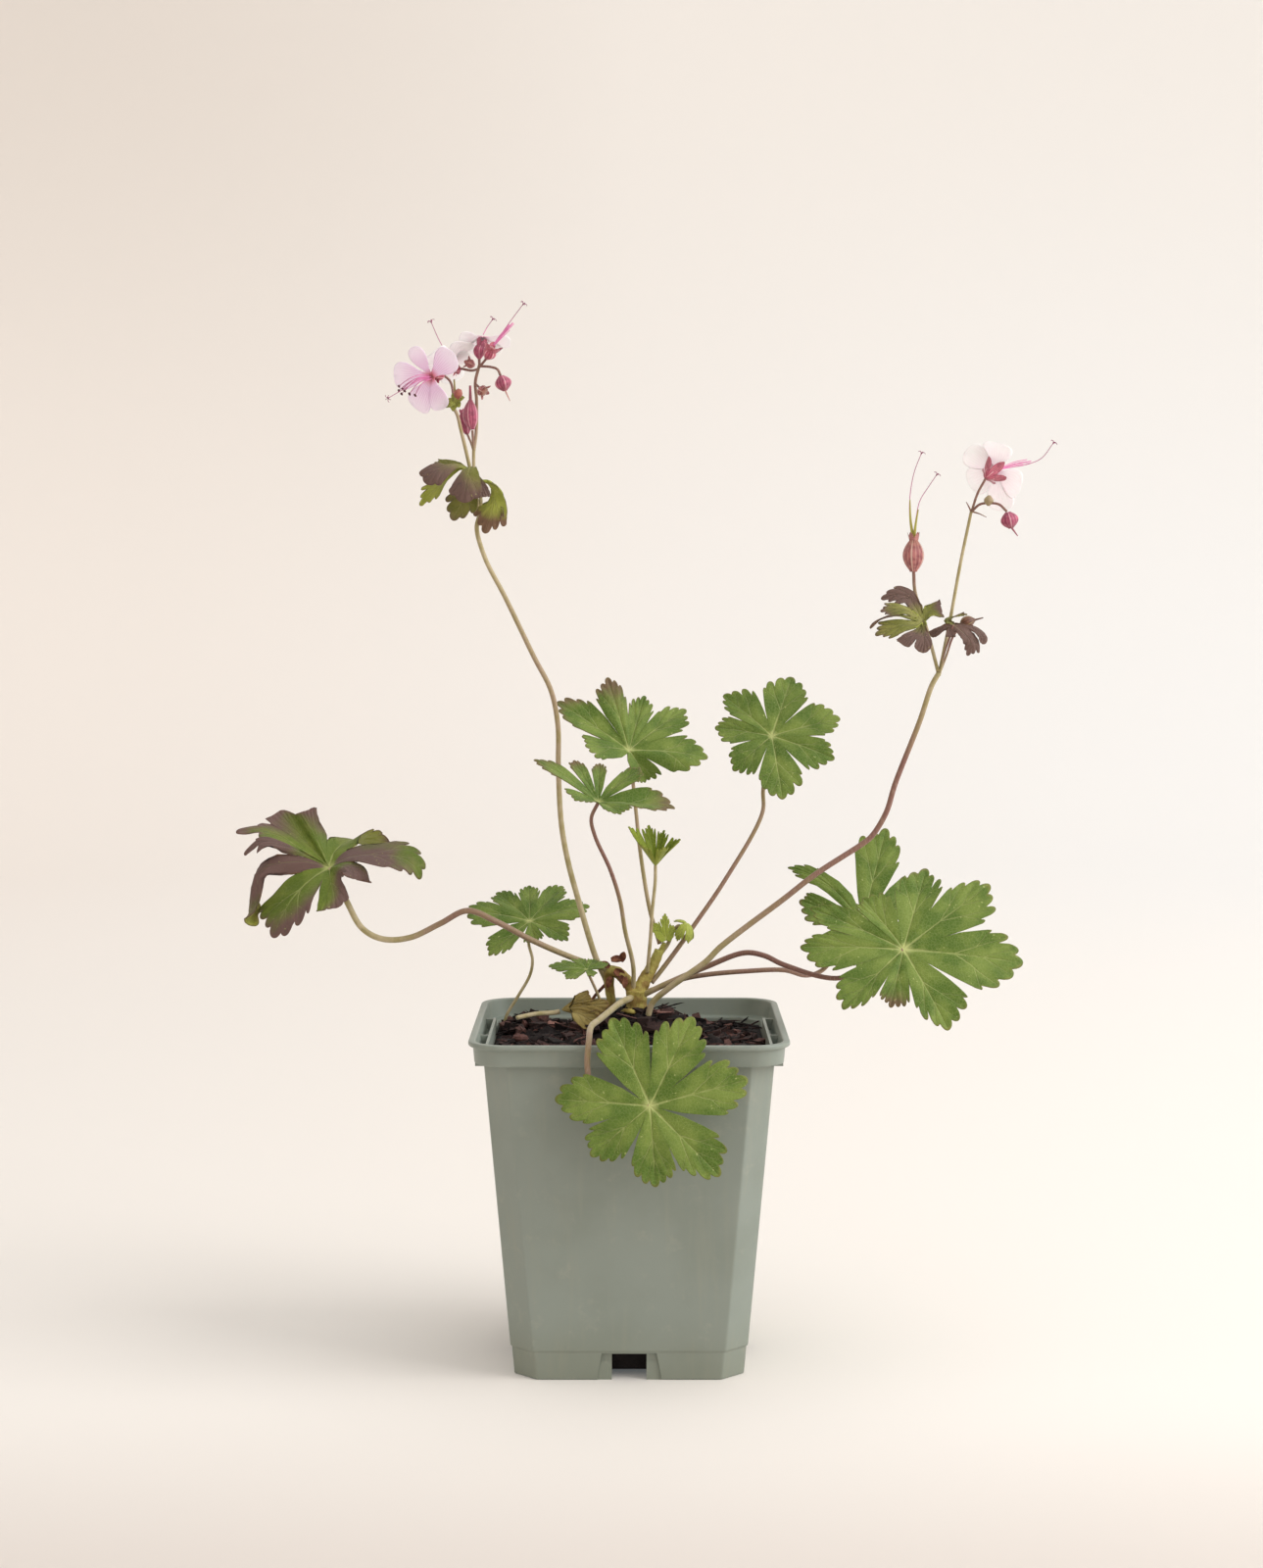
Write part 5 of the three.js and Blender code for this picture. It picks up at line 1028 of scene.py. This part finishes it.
PETAL_ROWS, PETAL_COLUMNS = 22, 15
OUTLINE_T = np.array([0, 0.12, 0.3, 0.45, 0.62, 0.78, 0.88, 0.95, 0.985, 1])
PETAL_WIDTH = np.array([0.2, 0.24, 0.42, 0.72, 0.95, 1.0, 0.9, 0.66, 0.38, 0.0])
SEPAL_WIDTH = np.array([0.5, 0.72, 0.95, 1.0, 0.9, 0.66, 0.42, 0.22, 0.12, 0.0])


def petal(centre, facing, spec, outline=PETAL_WIDTH, cup=0.1, frill=0.35):
    """A blade that widens from its claw to a round end. Its middle line rises from `lift` to
    `end_lift` degrees over the flower's face, its half width follows the outline, its sides
    curve up by the square of the distance from the middle, and its edge is frilled at random."""
    direction, lift, end_lift, length, width = spec
    e1, e2, n = frame_of(facing)
    heading = math.radians(direction)
    along = e1 * math.cos(heading) + e2 * math.sin(heading)
    across = np.cross(n, along)
    t = 1 - (1 - np.linspace(0, 1, PETAL_ROWS)) ** 1.5
    rise = np.radians(lift + (end_lift - lift) * t)
    step = np.diff(t, prepend=0) * length
    out, up = np.cumsum(step * np.cos(rise)), np.cumsum(step * np.sin(rise))
    s = np.linspace(-1, 1, PETAL_COLUMNS)[None]
    half = np.interp(t, OUTLINE_T, outline)[:, None] * width / 2
    frills = ripple(s * half, t[:, None] * length, 3, int(direction + 7 * length))
    high = up[:, None] + cup * half * s ** 2 + frill * t[:, None] ** 3 * frills
    points = np.array(centre, float) + out[:, None, None] * along + (s * half)[..., None] * across
    points = points + high[..., None] * n
    uv = np.stack(np.broadcast_arrays(0.5 + 0.5 * s * np.minimum(1, half / width * 2 + 0.3), t[:, None]), -1)
    return grid(points[:, ::-1], uv[:, ::-1])


def petal_skin(name, body, edge, vein, throat, vein_strength, glow):
    """Petals pass light on: part of it below the surface, and a little as a painted glow, an emission in the
    edge colour that stands in for the light shining through them.
    """
    paint = Paint(name, Roughness=0.55, Specular_IOR_Level=0.25, Sheen_Weight=0.1, Subsurface_Weight=glow,
                  Subsurface_Scale=1.0, Subsurface_Radius=(0.002, 0.0015, 0.0017),
                  Emission_Color=srgb(*edge), Emission_Strength=0.05 * glow)
    across, along, _ = paint.flat()
    wander = paint.ramp(paint.noise(paint.place(), 2.5, 2), 0.07, -0.035)
    lines = paint.step(paint.ridges(paint.plus(across, wander), 34.0), 0.86, 1.0)
    fade = paint.rest(paint.step(along, 0.25, 0.95))
    colour = paint.mix(paint.step(along, 0.35, 1.0), body, edge)
    colour = paint.lay(colour, vein, lines, paint.times(fade, vein_strength))
    colour = paint.lay(colour, throat, paint.rest(paint.step(along, 0.03, 0.32)))
    return paint.finish(colour, lines, 0.04)


lilac = petal_skin("lilac_petal", (236, 196, 230), (246, 222, 246), (190, 116, 178), (206, 90, 98), 0.6, 0.55)
pale = petal_skin("pale_petal", (246, 228, 232), (252, 244, 244), (222, 184, 198), (212, 136, 154),
                  0.35, 0.85)

# A bloom is its centre, facing, skin and slot, with (direction, lift, lift at its end, length,
# width) for each petal.
BLOOMS = {
    "bloom_left": ((-68.5, -12, 346), (-0.45, -0.86, -0.25), lilac, "pink_petal", [
        (44, 12, -8, 13, 10), (114, 28, 12, 12.5, 6.6), (182, 14, 0, 14.4, 9.8), (243, 10, -10, 14, 9.6),
        (295, 17, 0, 12, 8)]),
    "bloom_back": ((-63.4, 6.8, 351.6), (-0.4, 0.5, 0.77), pale, "pale_petal", [
        (350, 5, -15, 8, 8.5), (84, 8, -5, 11, 9), (164, 8, -5, 11.5, 10), (236, 8, -5, 11.5, 10),
        (308, 8, -5, 11.5, 10)]),
    "bloom_top": ((-51.4, 2.3, 360.7), (0.1, 0.5, 0.86), pale, "pale_petal", [
        (8, 0, -10, 10, 7.5), (65, -5, -15, 9, 8.5), (122, -2, -15, 9.5, 8.5), (178, -4, -22, 8.5, 8)]),
    "bloom_right": ((128.6, -0.6, 314), (0.55, 0.75, 0.35), pale, "pale_petal", [
        (208, -7, -14, 12.5, 10.5), (272, 1, -6, 11, 11.5), (18, -8, -14, 12, 11.5), (74, 0, -8, 14.5, 11),
        (142, -4, -11, 11.5, 10.5)]),
}
for name, (centre, facing, skin_of, slot, petals) in BLOOMS.items():
    make_piece(name + "_corolla", [petal(centre, facing, one) for one in petals], [skin_of],
               name + "_petals", thickness=0.22, outwards=False)

# ---------------------------------------------------------------- calyces, buds and spent heads
# Each flower sits in an inflated rose-red calyx of five ribbed sepals that end in a short point.
# In bud it is shut round a beak, in the open bloom its points stand apart, and it shuts again
# over the seeds.


def swelling(radius, neck, tip):
    """The girth of a spindle: a sine hump with a stated width left at both ends."""
    def girth(t):
        hump = np.sin(math.pi * np.minimum(1, t * (1 - neck * 0.3) + 0.06)) ** 0.8
        return radius * np.maximum(hump, np.where(t > 0.5, tip, neck))
    return girth


def five_ribs(t, angle):
    """Five rounded sepals that meet in grooves, each with a thin raised rib along it."""
    rib = np.exp(-((np.abs(np.sin(2.5 * angle)) / 0.22) ** 2))
    return 0.98 + 0.07 * np.abs(np.cos(2.5 * angle)) + 0.05 * rib


def sepal_mark(power, top=1.0):
    """A mark that grows from a sepal's foot to its tip by a power of the way."""
    return {"sepal": np.linspace(0, 1, PETAL_ROWS).repeat(PETAL_COLUMNS) ** power * top}


def calyx(points, radius, tip=0.3, points_out=0, point_length=2.2, point_width=0.6):
    """A ribbed spindle from the pedicel's end along its points, with five sepal points round
    its mouth that lean out by `points_out` degrees. A length of 0 leaves them off."""
    shapes = [tube(points, swelling(radius, 0.35, tip), 60, 24, five_ribs, sepal=lambda t: t)]
    foot, mouth = np.array(points[-2], float), np.array(points[-1], float)
    axis = (mouth - foot) / np.linalg.norm(mouth - foot)
    e1, e2, _ = frame_of(axis)
    for direction in range(20, 380, 72) if point_length else ():
        spec = direction, 86 - points_out, 80 - points_out, point_length, radius * point_width
        lean = petal(mouth - axis * point_length * 0.55, axis, spec, SEPAL_WIDTH, 0.4, 0)
        turn = math.radians(direction)
        lean["points"] = lean["points"] + (e1 * math.cos(turn) + e2 * math.sin(turn)) * radius * tip * 0.8
        lean["marks"] = sepal_mark(2)
        shapes.append(lean)
    return shapes


def calyx_skin(name, body, groove, rib, point, beak=(206, 160, 148)):
    """Mottled between body and groove colour, with grooves, ribs and thin lines between them
    round the spindle, and a tint towards the points and on the beak."""
    paint = Paint(name, Roughness=0.5, Specular_IOR_Level=0.35, Sheen_Weight=0.3, Sheen_Roughness=0.4,
                  Subsurface_Weight=0.08, Subsurface_Radius=(0.001, 0.0004, 0.0005))
    round_it, sepal = paint.flat()[0], paint.mark("sepal")
    wave, fine = paint.ridges(round_it, 5 * math.pi), paint.ridges(round_it, 15 * math.pi)
    blotch = paint.noise(paint.place(), 1.6, 4, 0.6)
    colour = paint.mix(paint.step(blotch, 0.4, 0.65), body, groove)
    colour = paint.lay(colour, groove, paint.step(wave, 0.93, 1.0), 0.6)
    colour = paint.lay(colour, rib, paint.rest(paint.step(fine, 0.1, 0.4)), 0.25)
    colour = paint.lay(colour, rib, paint.rest(paint.step(wave, 0.08, 0.3)), 0.7)
    colour = paint.lay(colour, point, paint.step(sepal, 0.6, 1.0), 0.5)
    colour = paint.lay(colour, beak, paint.step(sepal, 1.4, 1.8), 0.8)
    return paint.finish(colour, blotch, 0.08)


rose = calyx_skin("rose_calyx", (190, 92, 112), (150, 56, 80), (234, 190, 190), (150, 88, 76))
dark_rose = calyx_skin("dark_rose_calyx", (178, 84, 112), (136, 58, 82), (230, 180, 188), (132, 72, 74))
faded = calyx_skin("faded_calyx", (184, 118, 114), (142, 80, 84), (228, 200, 184), (160, 116, 86))
brown = calyx_skin("withered_calyx", (122, 82, 66), (86, 54, 46), (160, 140, 92), (92, 64, 50), (84, 60, 48))
leafy = calyx_skin("green_bract", (146, 150, 62), (112, 112, 44), (190, 190, 110), (138, 98, 70),
                   (164, 78, 80))

CALYCES = {  # the spindle, its radius, the skin, and the form of the mouth and its points
    "bloom_left_calyx": (
        [(-65.4, -6, 347.4), (-66.5, -8.4, 347), (-67.8, -10.7, 346.4)], 2.2, rose,
        dict(tip=0.7, points_out=55)),
    "bloom_back_calyx": (
        [(-59.4, 5, 350), (-60.8, 5.4, 349.8), (-62, 5.7, 349.6)], 1.7, rose, dict(tip=0.7, points_out=50)),
    "bloom_top_calyx": (
        [(-52.6, 0.7, 353.1), (-52.6, 1.2, 355.8), (-51.8, 1.5, 358.6)], 2, dark_rose,
        dict(tip=0.6, points_out=12, point_length=4, point_width=1.1)),
    "calyx_open": (
        [(-50, -2.4, 352.9), (-48.9, -3.2, 354.6), (-47.9, -3.8, 356.6)], 2.3, rose,
        dict(tip=0.75, points_out=24, point_length=4.6, point_width=1.05)),
    "calyx_inner": (
        [(-57, 0.8, 326.9), (-57.9, 1.2, 330.8), (-58.8, 1.5, 334.6)], 2.2, dark_rose,
        dict(points_out=4, point_length=2.6, point_width=0.5)),
    "spent_top": (
        [(-54.4, 2.4, 350.9), (-55.8, 2.9, 351.5), (-57, 3.3, 352.2)], 1.6, faded,
        dict(tip=0.8, points_out=40, point_length=2, point_width=0.9)),
    "spent_side": (
        [(-52.4, -2.5, 342.8), (-51.6, -3, 342), (-50.5, -3.6, 341.2)], 1.9, faded,
        dict(tip=0.8, points_out=45, point_length=2.4, point_width=0.8)),
    "calyx_seed": (
        [(100.6, 3, 278.6), (100.6, 3, 284.5), (100.5, 3, 290.4)], 3.6, faded,
        dict(points_out=8, point_length=5.4, point_width=0.6)),
    "bloom_right_calyx": (
        [(124.8, -5.5, 311.3), (126.4, -3.8, 312.6), (127.6, -2.4, 313.4)], 2.1, rose,
        dict(tip=0.8, points_out=30, point_length=7, point_width=1.5)),
}
for name, (points, radius, skin_of, form) in CALYCES.items():
    sepals = calyx(points, radius, **form)
    make_piece(name.replace("calyx", "sepals") + "_form", sepals, [skin_of], name)

BEAKED = {  # the spindle, its radius, the beak, its girth and mark, the skin and the slot
    "calyx_outer": (
        [(-55, -3.4, 328.2), (-55.4, -3.8, 333), (-55.5, -4, 338.4)], 2.6,
        [(-55.5, -4, 337.6), (-55.6, -4, 343.5)], (0.62, 0.4), 1, dark_rose, "calyx"),
    "bud_left": (
        [(-44.7, -6.1, 346.7), (-44, -6.1, 344), (-43.3, -6.1, 341.5)], 2.8,
        [(-43.4, -6.1, 342), (-41.6, -6, 338)], (0.34, 0.14), 2, dark_rose, "calyx"),
    "bud_right": (
        [(131.8, -10.1, 299.3), (132.4, -10.1, 296.9), (133.2, -10, 293.7)], 3,
        [(133.1, -10, 294.2), (135.5, -10, 291)], (0.4, 0.16), 1, dark_rose, "calyx"),
    "withered_head": (
        [(117.3, 3.4, 259.5), (119.8, 3.4, 260.9), (122.4, 3.4, 261.7)], 2.2,
        [(121.6, 3.4, 261.4), (125.4, 3.2, 262.4)], (0.45, 0.2), 1, brown, "bronze_leaf"),
}
for name, (points, radius, beak, girth, mark, skin_of, slot) in BEAKED.items():
    beaked = calyx(points, radius, point_length=0) + [tube(beak, girth, 10, 8, sepal=float(mark))]
    make_piece(name + "_form", beaked, [skin_of], name)

# The green bract is a stub with leaflets round it and a small bud, with its beak, between them.
BRACT_FOOT, BRACT_FACING = (-60.1, -12.9, 337.6), (-0.2, -0.9, 0.35)
BRACT_STUB = [(-60.6, -12.4, 336), (-60.2, -12.8, 337.4), (-59.8, -13, 338.6)]
BRACT_BUD = [(-59.8, -13, 338.2), (-59.2, -13.3, 340), (-58.6, -13.4, 341.6)]
BRACT_BEAK = [(-60.2, -13.1, 338.6), (-60.6, -13.3, 345)]
LEAFLETS = [(205, 20, -25, 4.4, 3.6), (250, 15, -30, 3.8, 3.2), (300, 10, -30, 3, 2.6),
            (20, 20, -10, 3.4, 2.8), (110, 30, 0, 3, 2)]
tuft = [tube(BRACT_STUB, (0.7, 0.9), 12, 8, sepal=0.5),
        tube(BRACT_BUD, swelling(1.5, 0.5, 0.5), 40, 16, five_ribs, sepal=2.0),
        tube(BRACT_BEAK, (0.4, 0.28), 10, 8, sepal=1.0)]
for spec in LEAFLETS:
    leaflet = petal(BRACT_FOOT, BRACT_FACING, spec, SEPAL_WIDTH, 0.3, 0.5)
    leaflet["marks"] = sepal_mark(4, 0.98)
    tuft.append(leaflet)
make_piece("bract_left_form", tuft, [leafy], "bract_left")

# ---------------------------------------------------------------- stamens and styles
# Thread-thin filaments that curve out of each bloom, pink at the foot and darker outwards. A
# stamen ends in a dark anther, the style in five tiny curled branches.

THREADS = {  # for each thread or bundle its route, what it ends in, how many, and how far apart
    "bloom_left": [
        ([(-69, -12.9, 345.7), (-72.5, -19, 344.6), (-75.5, -25, 341.8), (-77.6, -28, 339)],
         "anther", 7, 3.4),
        ([(-69, -12.9, 345.7), (-72.6, -20, 344), (-77, -27.5, 340.6), (-81.5, -32, 337.5)],
         "stigma", 1, 0)],
    "bloom_back": [
        ([(-63.8, 7.4, 352.4), (-65, 8.8, 356), (-67.6, 9.6, 361), (-70, 10, 366.5)], "stigma", 1, 0)],
    "bloom_top": [
        ([(-51.3, 2.8, 361.7), (-50, 3.1, 364.2), (-48.2, 3.2, 366.8)], "stigma", 1, 0)],
    "calyx_open": [
        ([(-47.3, -4.1, 357.4), (-44.6, -4.8, 360.6), (-40.4, -5.4, 365)], "bare", 8, 1.1),
        ([(-47.3, -4.1, 357.4), (-42.4, -5.6, 364.2), (-37, -8, 371)], "stigma", 1, 0)],
    "calyx_seed": [
        ([(100.4, 3, 291.5), (99.2, 3.6, 297), (99.2, 4, 305), (100.6, 4, 313.5), (103, 4, 320)],
         "stigma", 1, 0),
        ([(100.4, 3, 291.5), (101.2, 2, 297.5), (102.4, 1, 303.5), (105.4, 0.4, 308.5), (108, 0, 312.4)],
         "stigma", 1, 0)],
    "bloom_right": [
        ([(129.2, 0.2, 314.2), (132.5, 2.8, 315.4), (137, 3.9, 316.9), (142, 4.2, 317.6)],
         "bare", 8, 1.3),
        ([(129.2, 0.2, 314.2), (134, 2.4, 315.2), (140.5, 3.4, 316.4), (145.5, 3.2, 318.6),
          (149.3, 2.6, 323.6)], "stigma", 1, 0)],
}
STYLE_FEET = [[(100.3, 3, 290.5), (99.4, 3.5, 297), (99.2, 3.95, 304)],
              [(100.6, 2.8, 290.5), (101.2, 2.1, 296), (101.9, 1.3, 300.5)]]
GOLDEN_ANGLE = 2.4
STIGMA_CURL = [(-0.2, 0), (0.7, 0.35), (0.9, 1), (0.55, 1.45)]


def bundle(route, count, spread):
    """Routes that leave side by side and part towards their ends, which stand on a spiral of
    golden angles round the given one. Of every three, the second is an eighth shorter than the
    first, and the third a quarter."""
    route = np.array(route, float)
    e1, e2, _ = frame_of(route[-1] - route[-2])
    turn = GOLDEN_ANGLE * np.arange(count)[:, None, None]
    apart = np.sqrt(np.arange(count) / count)[:, None, None] * spread
    away = apart * np.linspace(0.25, 1, len(route))[:, None]
    cut = 1 - 0.125 * (np.arange(count) % 3)[:, None, None]
    return route[0] + (route - route[0]) * cut + away * (np.cos(turn) * e1 + np.sin(turn) * e2)


def anther_girth(t):
    """An egg: a sine hump with its ends cut off."""
    return 0.42 * np.sin(math.pi * np.clip(t, 0.03, 0.97)) ** 0.6


def thread(route, end):
    """A filament with what it carries: an egg-shaped anther, or five curled stigma branches."""
    shapes = [tube(route, (0.17, 0.12), 8, 24, dark=lambda t: t * (0.1 if end == "bare" else 0.7))]
    tip = np.array(route[-1], float)
    along = tip - np.array(route[-2], float)
    along /= np.linalg.norm(along)
    e1, e2, _ = frame_of(along)
    if end == "anther":
        across = e1 * 0.6 + along * 0.5
        shapes.append(tube([tip - across, tip, tip + across], anther_girth, 10, 8, dark=1.0))
    if end == "stigma":
        for turn in 2 * math.pi * np.arange(5) / 5:
            out = e1 * math.cos(turn) + e2 * math.sin(turn)
            curl = [tip + along * rise + out * reach for rise, reach in STIGMA_CURL]
            shapes.append(tube(curl, (0.14, 0.09), 6, 6, dark=0.8))
    return shapes


def thread_skin():
    paint = Paint("filament", Roughness=0.5, Specular_IOR_Level=0.3, Subsurface_Weight=0.1,
                  Subsurface_Radius=(0.001, 0.0005, 0.0006))
    dark = paint.plus(paint.mark("dark"), paint.ramp(paint.noise(paint.place(), 1.5, 2), 0.2, -0.1))
    colour = paint.mix(paint.step(dark, 0.0, 0.65), (232, 140, 190), (158, 84, 118))
    colour = paint.lay(colour, (84, 46, 52), paint.step(dark, 0.75, 0.95))
    colour = paint.lay(colour, (174, 168, 82), paint.step(dark, -0.4, -0.8))
    return paint.finish(colour)


filament = thread_skin()
for name, routes in THREADS.items():
    node = name + ("_styles" if name == "calyx_seed" else "_threads")
    shapes = [shape for route, end, count, spread in routes
              for one in bundle(route, count, spread) for shape in thread(one, end)]
    if name == "calyx_seed":
        shapes += [tube(route, (0.6, 0.2), 12, 20, dark=-1.0) for route in STYLE_FEET]
    make_piece(name + "_filaments", shapes, [filament], node)

# ---------------------------------------------------------------- dry bits
# What is left of last year's growth: red-brown papery scales on the arching shoot, and a thin
# dry stick pushed into the compost.


def papery():
    paint = Paint("dry_scale", Roughness=0.75, Specular_IOR_Level=0.3, Subsurface_Weight=0.1,
                  Subsurface_Radius=(0.001, 0.0005, 0.0004))
    streak = paint.noise(paint.place((1, 1, 4)), 0.6, 4, 0.6)
    colour = paint.mix(paint.step(paint.noise(paint.place(), 2, 3), 0.4, 0.62), (96, 54, 38), (140, 92, 66))
    colour = paint.lay(colour, (74, 40, 34), paint.step(streak, 0.5, 0.7), 0.6)
    return paint.finish(colour, streak, 0.15)


dry = papery()
SCALES = [  # place, facing, and the petal's (direction, lift, lift at its end, length, width)
    ((-6.6, 11.6, 139.2), (0.1, -0.9, 0.5), (10, 8, -20, 5, 2.6)),
    ((-3, 10.8, 138.6), (0, -1, 0.3), (70, 10, 50, 4, 2.4)),
    ((-5.4, 11.6, 135.4), (0.1, -1, 0.1), (330, 10, -30, 5.4, 3)),
    ((-3.4, 10.6, 133.6), (0.3, -1, 0.2), (300, 10, 30, 4, 2.4)),
    ((-6.6, 12, 133), (-0.3, -1, 0.2), (250, 20, -30, 4.4, 2.2)),
    ((-1.4, 9.6, 133.2), (0.2, -1, 0), (260, 20, 10, 4, 2)),
    ((-7, 11.6, 136.6), (-0.2, -1, 0.4), (150, 20, 0, 4, 2.2)),
]
TWIG = [(-17, 27, 112), (-13.5, 26.4, 122.5), (-9, 25.4, 128)]
make_piece("papery_scales", [petal(*one, outline=SEPAL_WIDTH, cup=0.35, frill=0.6) for one in SCALES],
           [dry], "dry_scales", thickness=0.25, outwards=False)
make_piece("dry_twig", [tube(TWIG, (0.6, 0.6), 10, 16, knobbly)], [dry], "dry_stick")

# ---------------------------------------------------------------- floor, light and camera
# A warm pale paper floor that sweeps up into the background, one big soft light from the upper
# right, and even light from all round.


def sweep_paper():
    """Paper that glows a little, more so away from the pot and towards +X, as if lit by the
    light that the studio's walls throw back. The glow is cooler in the distance at +X, and
    weaker high up at -X and on the floor just in front, where the paper's colour is also painted darker as
    shade."""
    paint = Paint("warm_paper", Roughness=0.9, Specular_IOR_Level=0.1, Emission_Strength=1.0)
    where = paint.place()
    x, y, z = paint.parts(where)
    right, high = paint.step(x, -900, 900), paint.step(z, 60, 1000)
    distance = paint.node("VectorMath", {0: where}, output=1, operation="LENGTH")
    away = paint.step(distance, -120, 160)
    forward = paint.times(y, -1.0)
    front = paint.math("SUBTRACT", paint.step(forward, 40, 300), paint.step(forward, 600, 1200))
    dim = paint.times(high, paint.math("MAXIMUM", 0.0, paint.ramp(right, -1.5, 0.75)))
    glow = paint.times(paint.ramp(right, 0.07, 0.13), paint.rest(dim))
    glow = paint.times(paint.times(away, glow), paint.ramp(front, -0.85, 1.0))
    far = paint.times(paint.step(distance, 100, 1800), paint.ramp(high, -0.8, 1.0))
    tint = {0: right, 4: (0.07, 0.05, 0.04), 5: (0.06, 0.09, 0.12)}
    tint = paint.node("Mix", tint, output=1, data_type="VECTOR")
    cool = paint.node("VectorMath", {0: tint, "Scale": far}, operation="SCALE")
    warm = paint.node("VectorMath", {0: (0.84, 0.92, 0.94), "Scale": glow}, operation="SCALE")
    light = paint.node("VectorMath", {0: warm, 1: cool}, operation="ADD")
    paint.tree.links.new(light, paint.shader.inputs["Emission Color"])
    colour = paint.mix(paint.noise(where, 900, 2), (224, 216, 208), (228, 220, 212))
    # Painted shade: the paper's colour is laid darker on the floor just in front.
    return paint.finish(paint.lay(colour, (214, 204, 196), front))


SWEEP_RADIUS, SWEEP_CURVE, SWEEP_HEIGHT = 2600, 900, 2600
turn = np.linspace(0, math.pi / 2, 24)
flat_radii = [0, 200, 600, 1200]
curve_radii = SWEEP_RADIUS - SWEEP_CURVE + SWEEP_CURVE * np.sin(turn)
radius = np.concatenate([flat_radii, curve_radii, [SWEEP_RADIUS]])
height = np.concatenate([[0, 0, 0, 0], SWEEP_CURVE * (1 - np.cos(turn)), [SWEEP_HEIGHT]])
angle = np.linspace(0, 2 * math.pi, 129)
paper = grid(np.stack(np.broadcast_arrays(radius[:, None] * np.cos(angle), radius[:, None] * np.sin(angle),
                                          height[:, None]), -1))
sweep_mesh = bpy.data.meshes.new("paper_sweep")
sweep_mesh.from_pydata((paper["points"] * MM).tolist(), [], paper["quads"].tolist())
sweep_mesh.shade_smooth()
sweep_mesh.materials.append(sweep_paper())
sweep = bpy.data.objects.new("paper_sweep", sweep_mesh)
bpy.context.scene.collection.objects.link(sweep)

world = bpy.data.worlds.new("room")
world.use_nodes = True
world.node_tree.nodes["Background"].inputs["Color"].default_value = (1, 1, 1, 1)
world.node_tree.nodes["Background"].inputs["Strength"].default_value = 0.865
bpy.context.scene.world = world


def soft_light(name, place, size, power, colour):
    """A square soft light aimed at the middle of the plant."""
    lamp = bpy.data.lights.new(name, "AREA")
    lamp.size, lamp.energy, lamp.color = size, power, colour
    light = bpy.data.objects.new(name, lamp)
    bpy.context.scene.collection.objects.link(light)
    away = np.array(place) - (0, 0, 0.18)
    light.location = place
    tilt, heading = math.acos(away[2] / np.linalg.norm(away)), math.atan2(away[1], away[0])
    light.rotation_euler = (tilt, 0, heading + math.pi / 2)


soft_light("key", (1.5, -0.5, 1.1), 1.2, 25, (0.98, 0.99, 1))

CAMERA_PLACE, CAMERA_TILT, FOCAL_LENGTH, FILM_WIDTH = (0.0008, -0.9826, 0.2760), 4.215, 63.8, 36
camera_data = bpy.data.cameras.new("camera")
camera_data.sensor_width = FILM_WIDTH
camera_data.lens = FOCAL_LENGTH
camera = bpy.data.objects.new("camera", camera_data)
camera.location = CAMERA_PLACE
camera.rotation_euler = (math.radians(90 - CAMERA_TILT), 0, 0)
bpy.context.scene.collection.objects.link(camera)
bpy.context.scene.camera = camera
bpy.context.scene.view_settings.view_transform = "Standard"
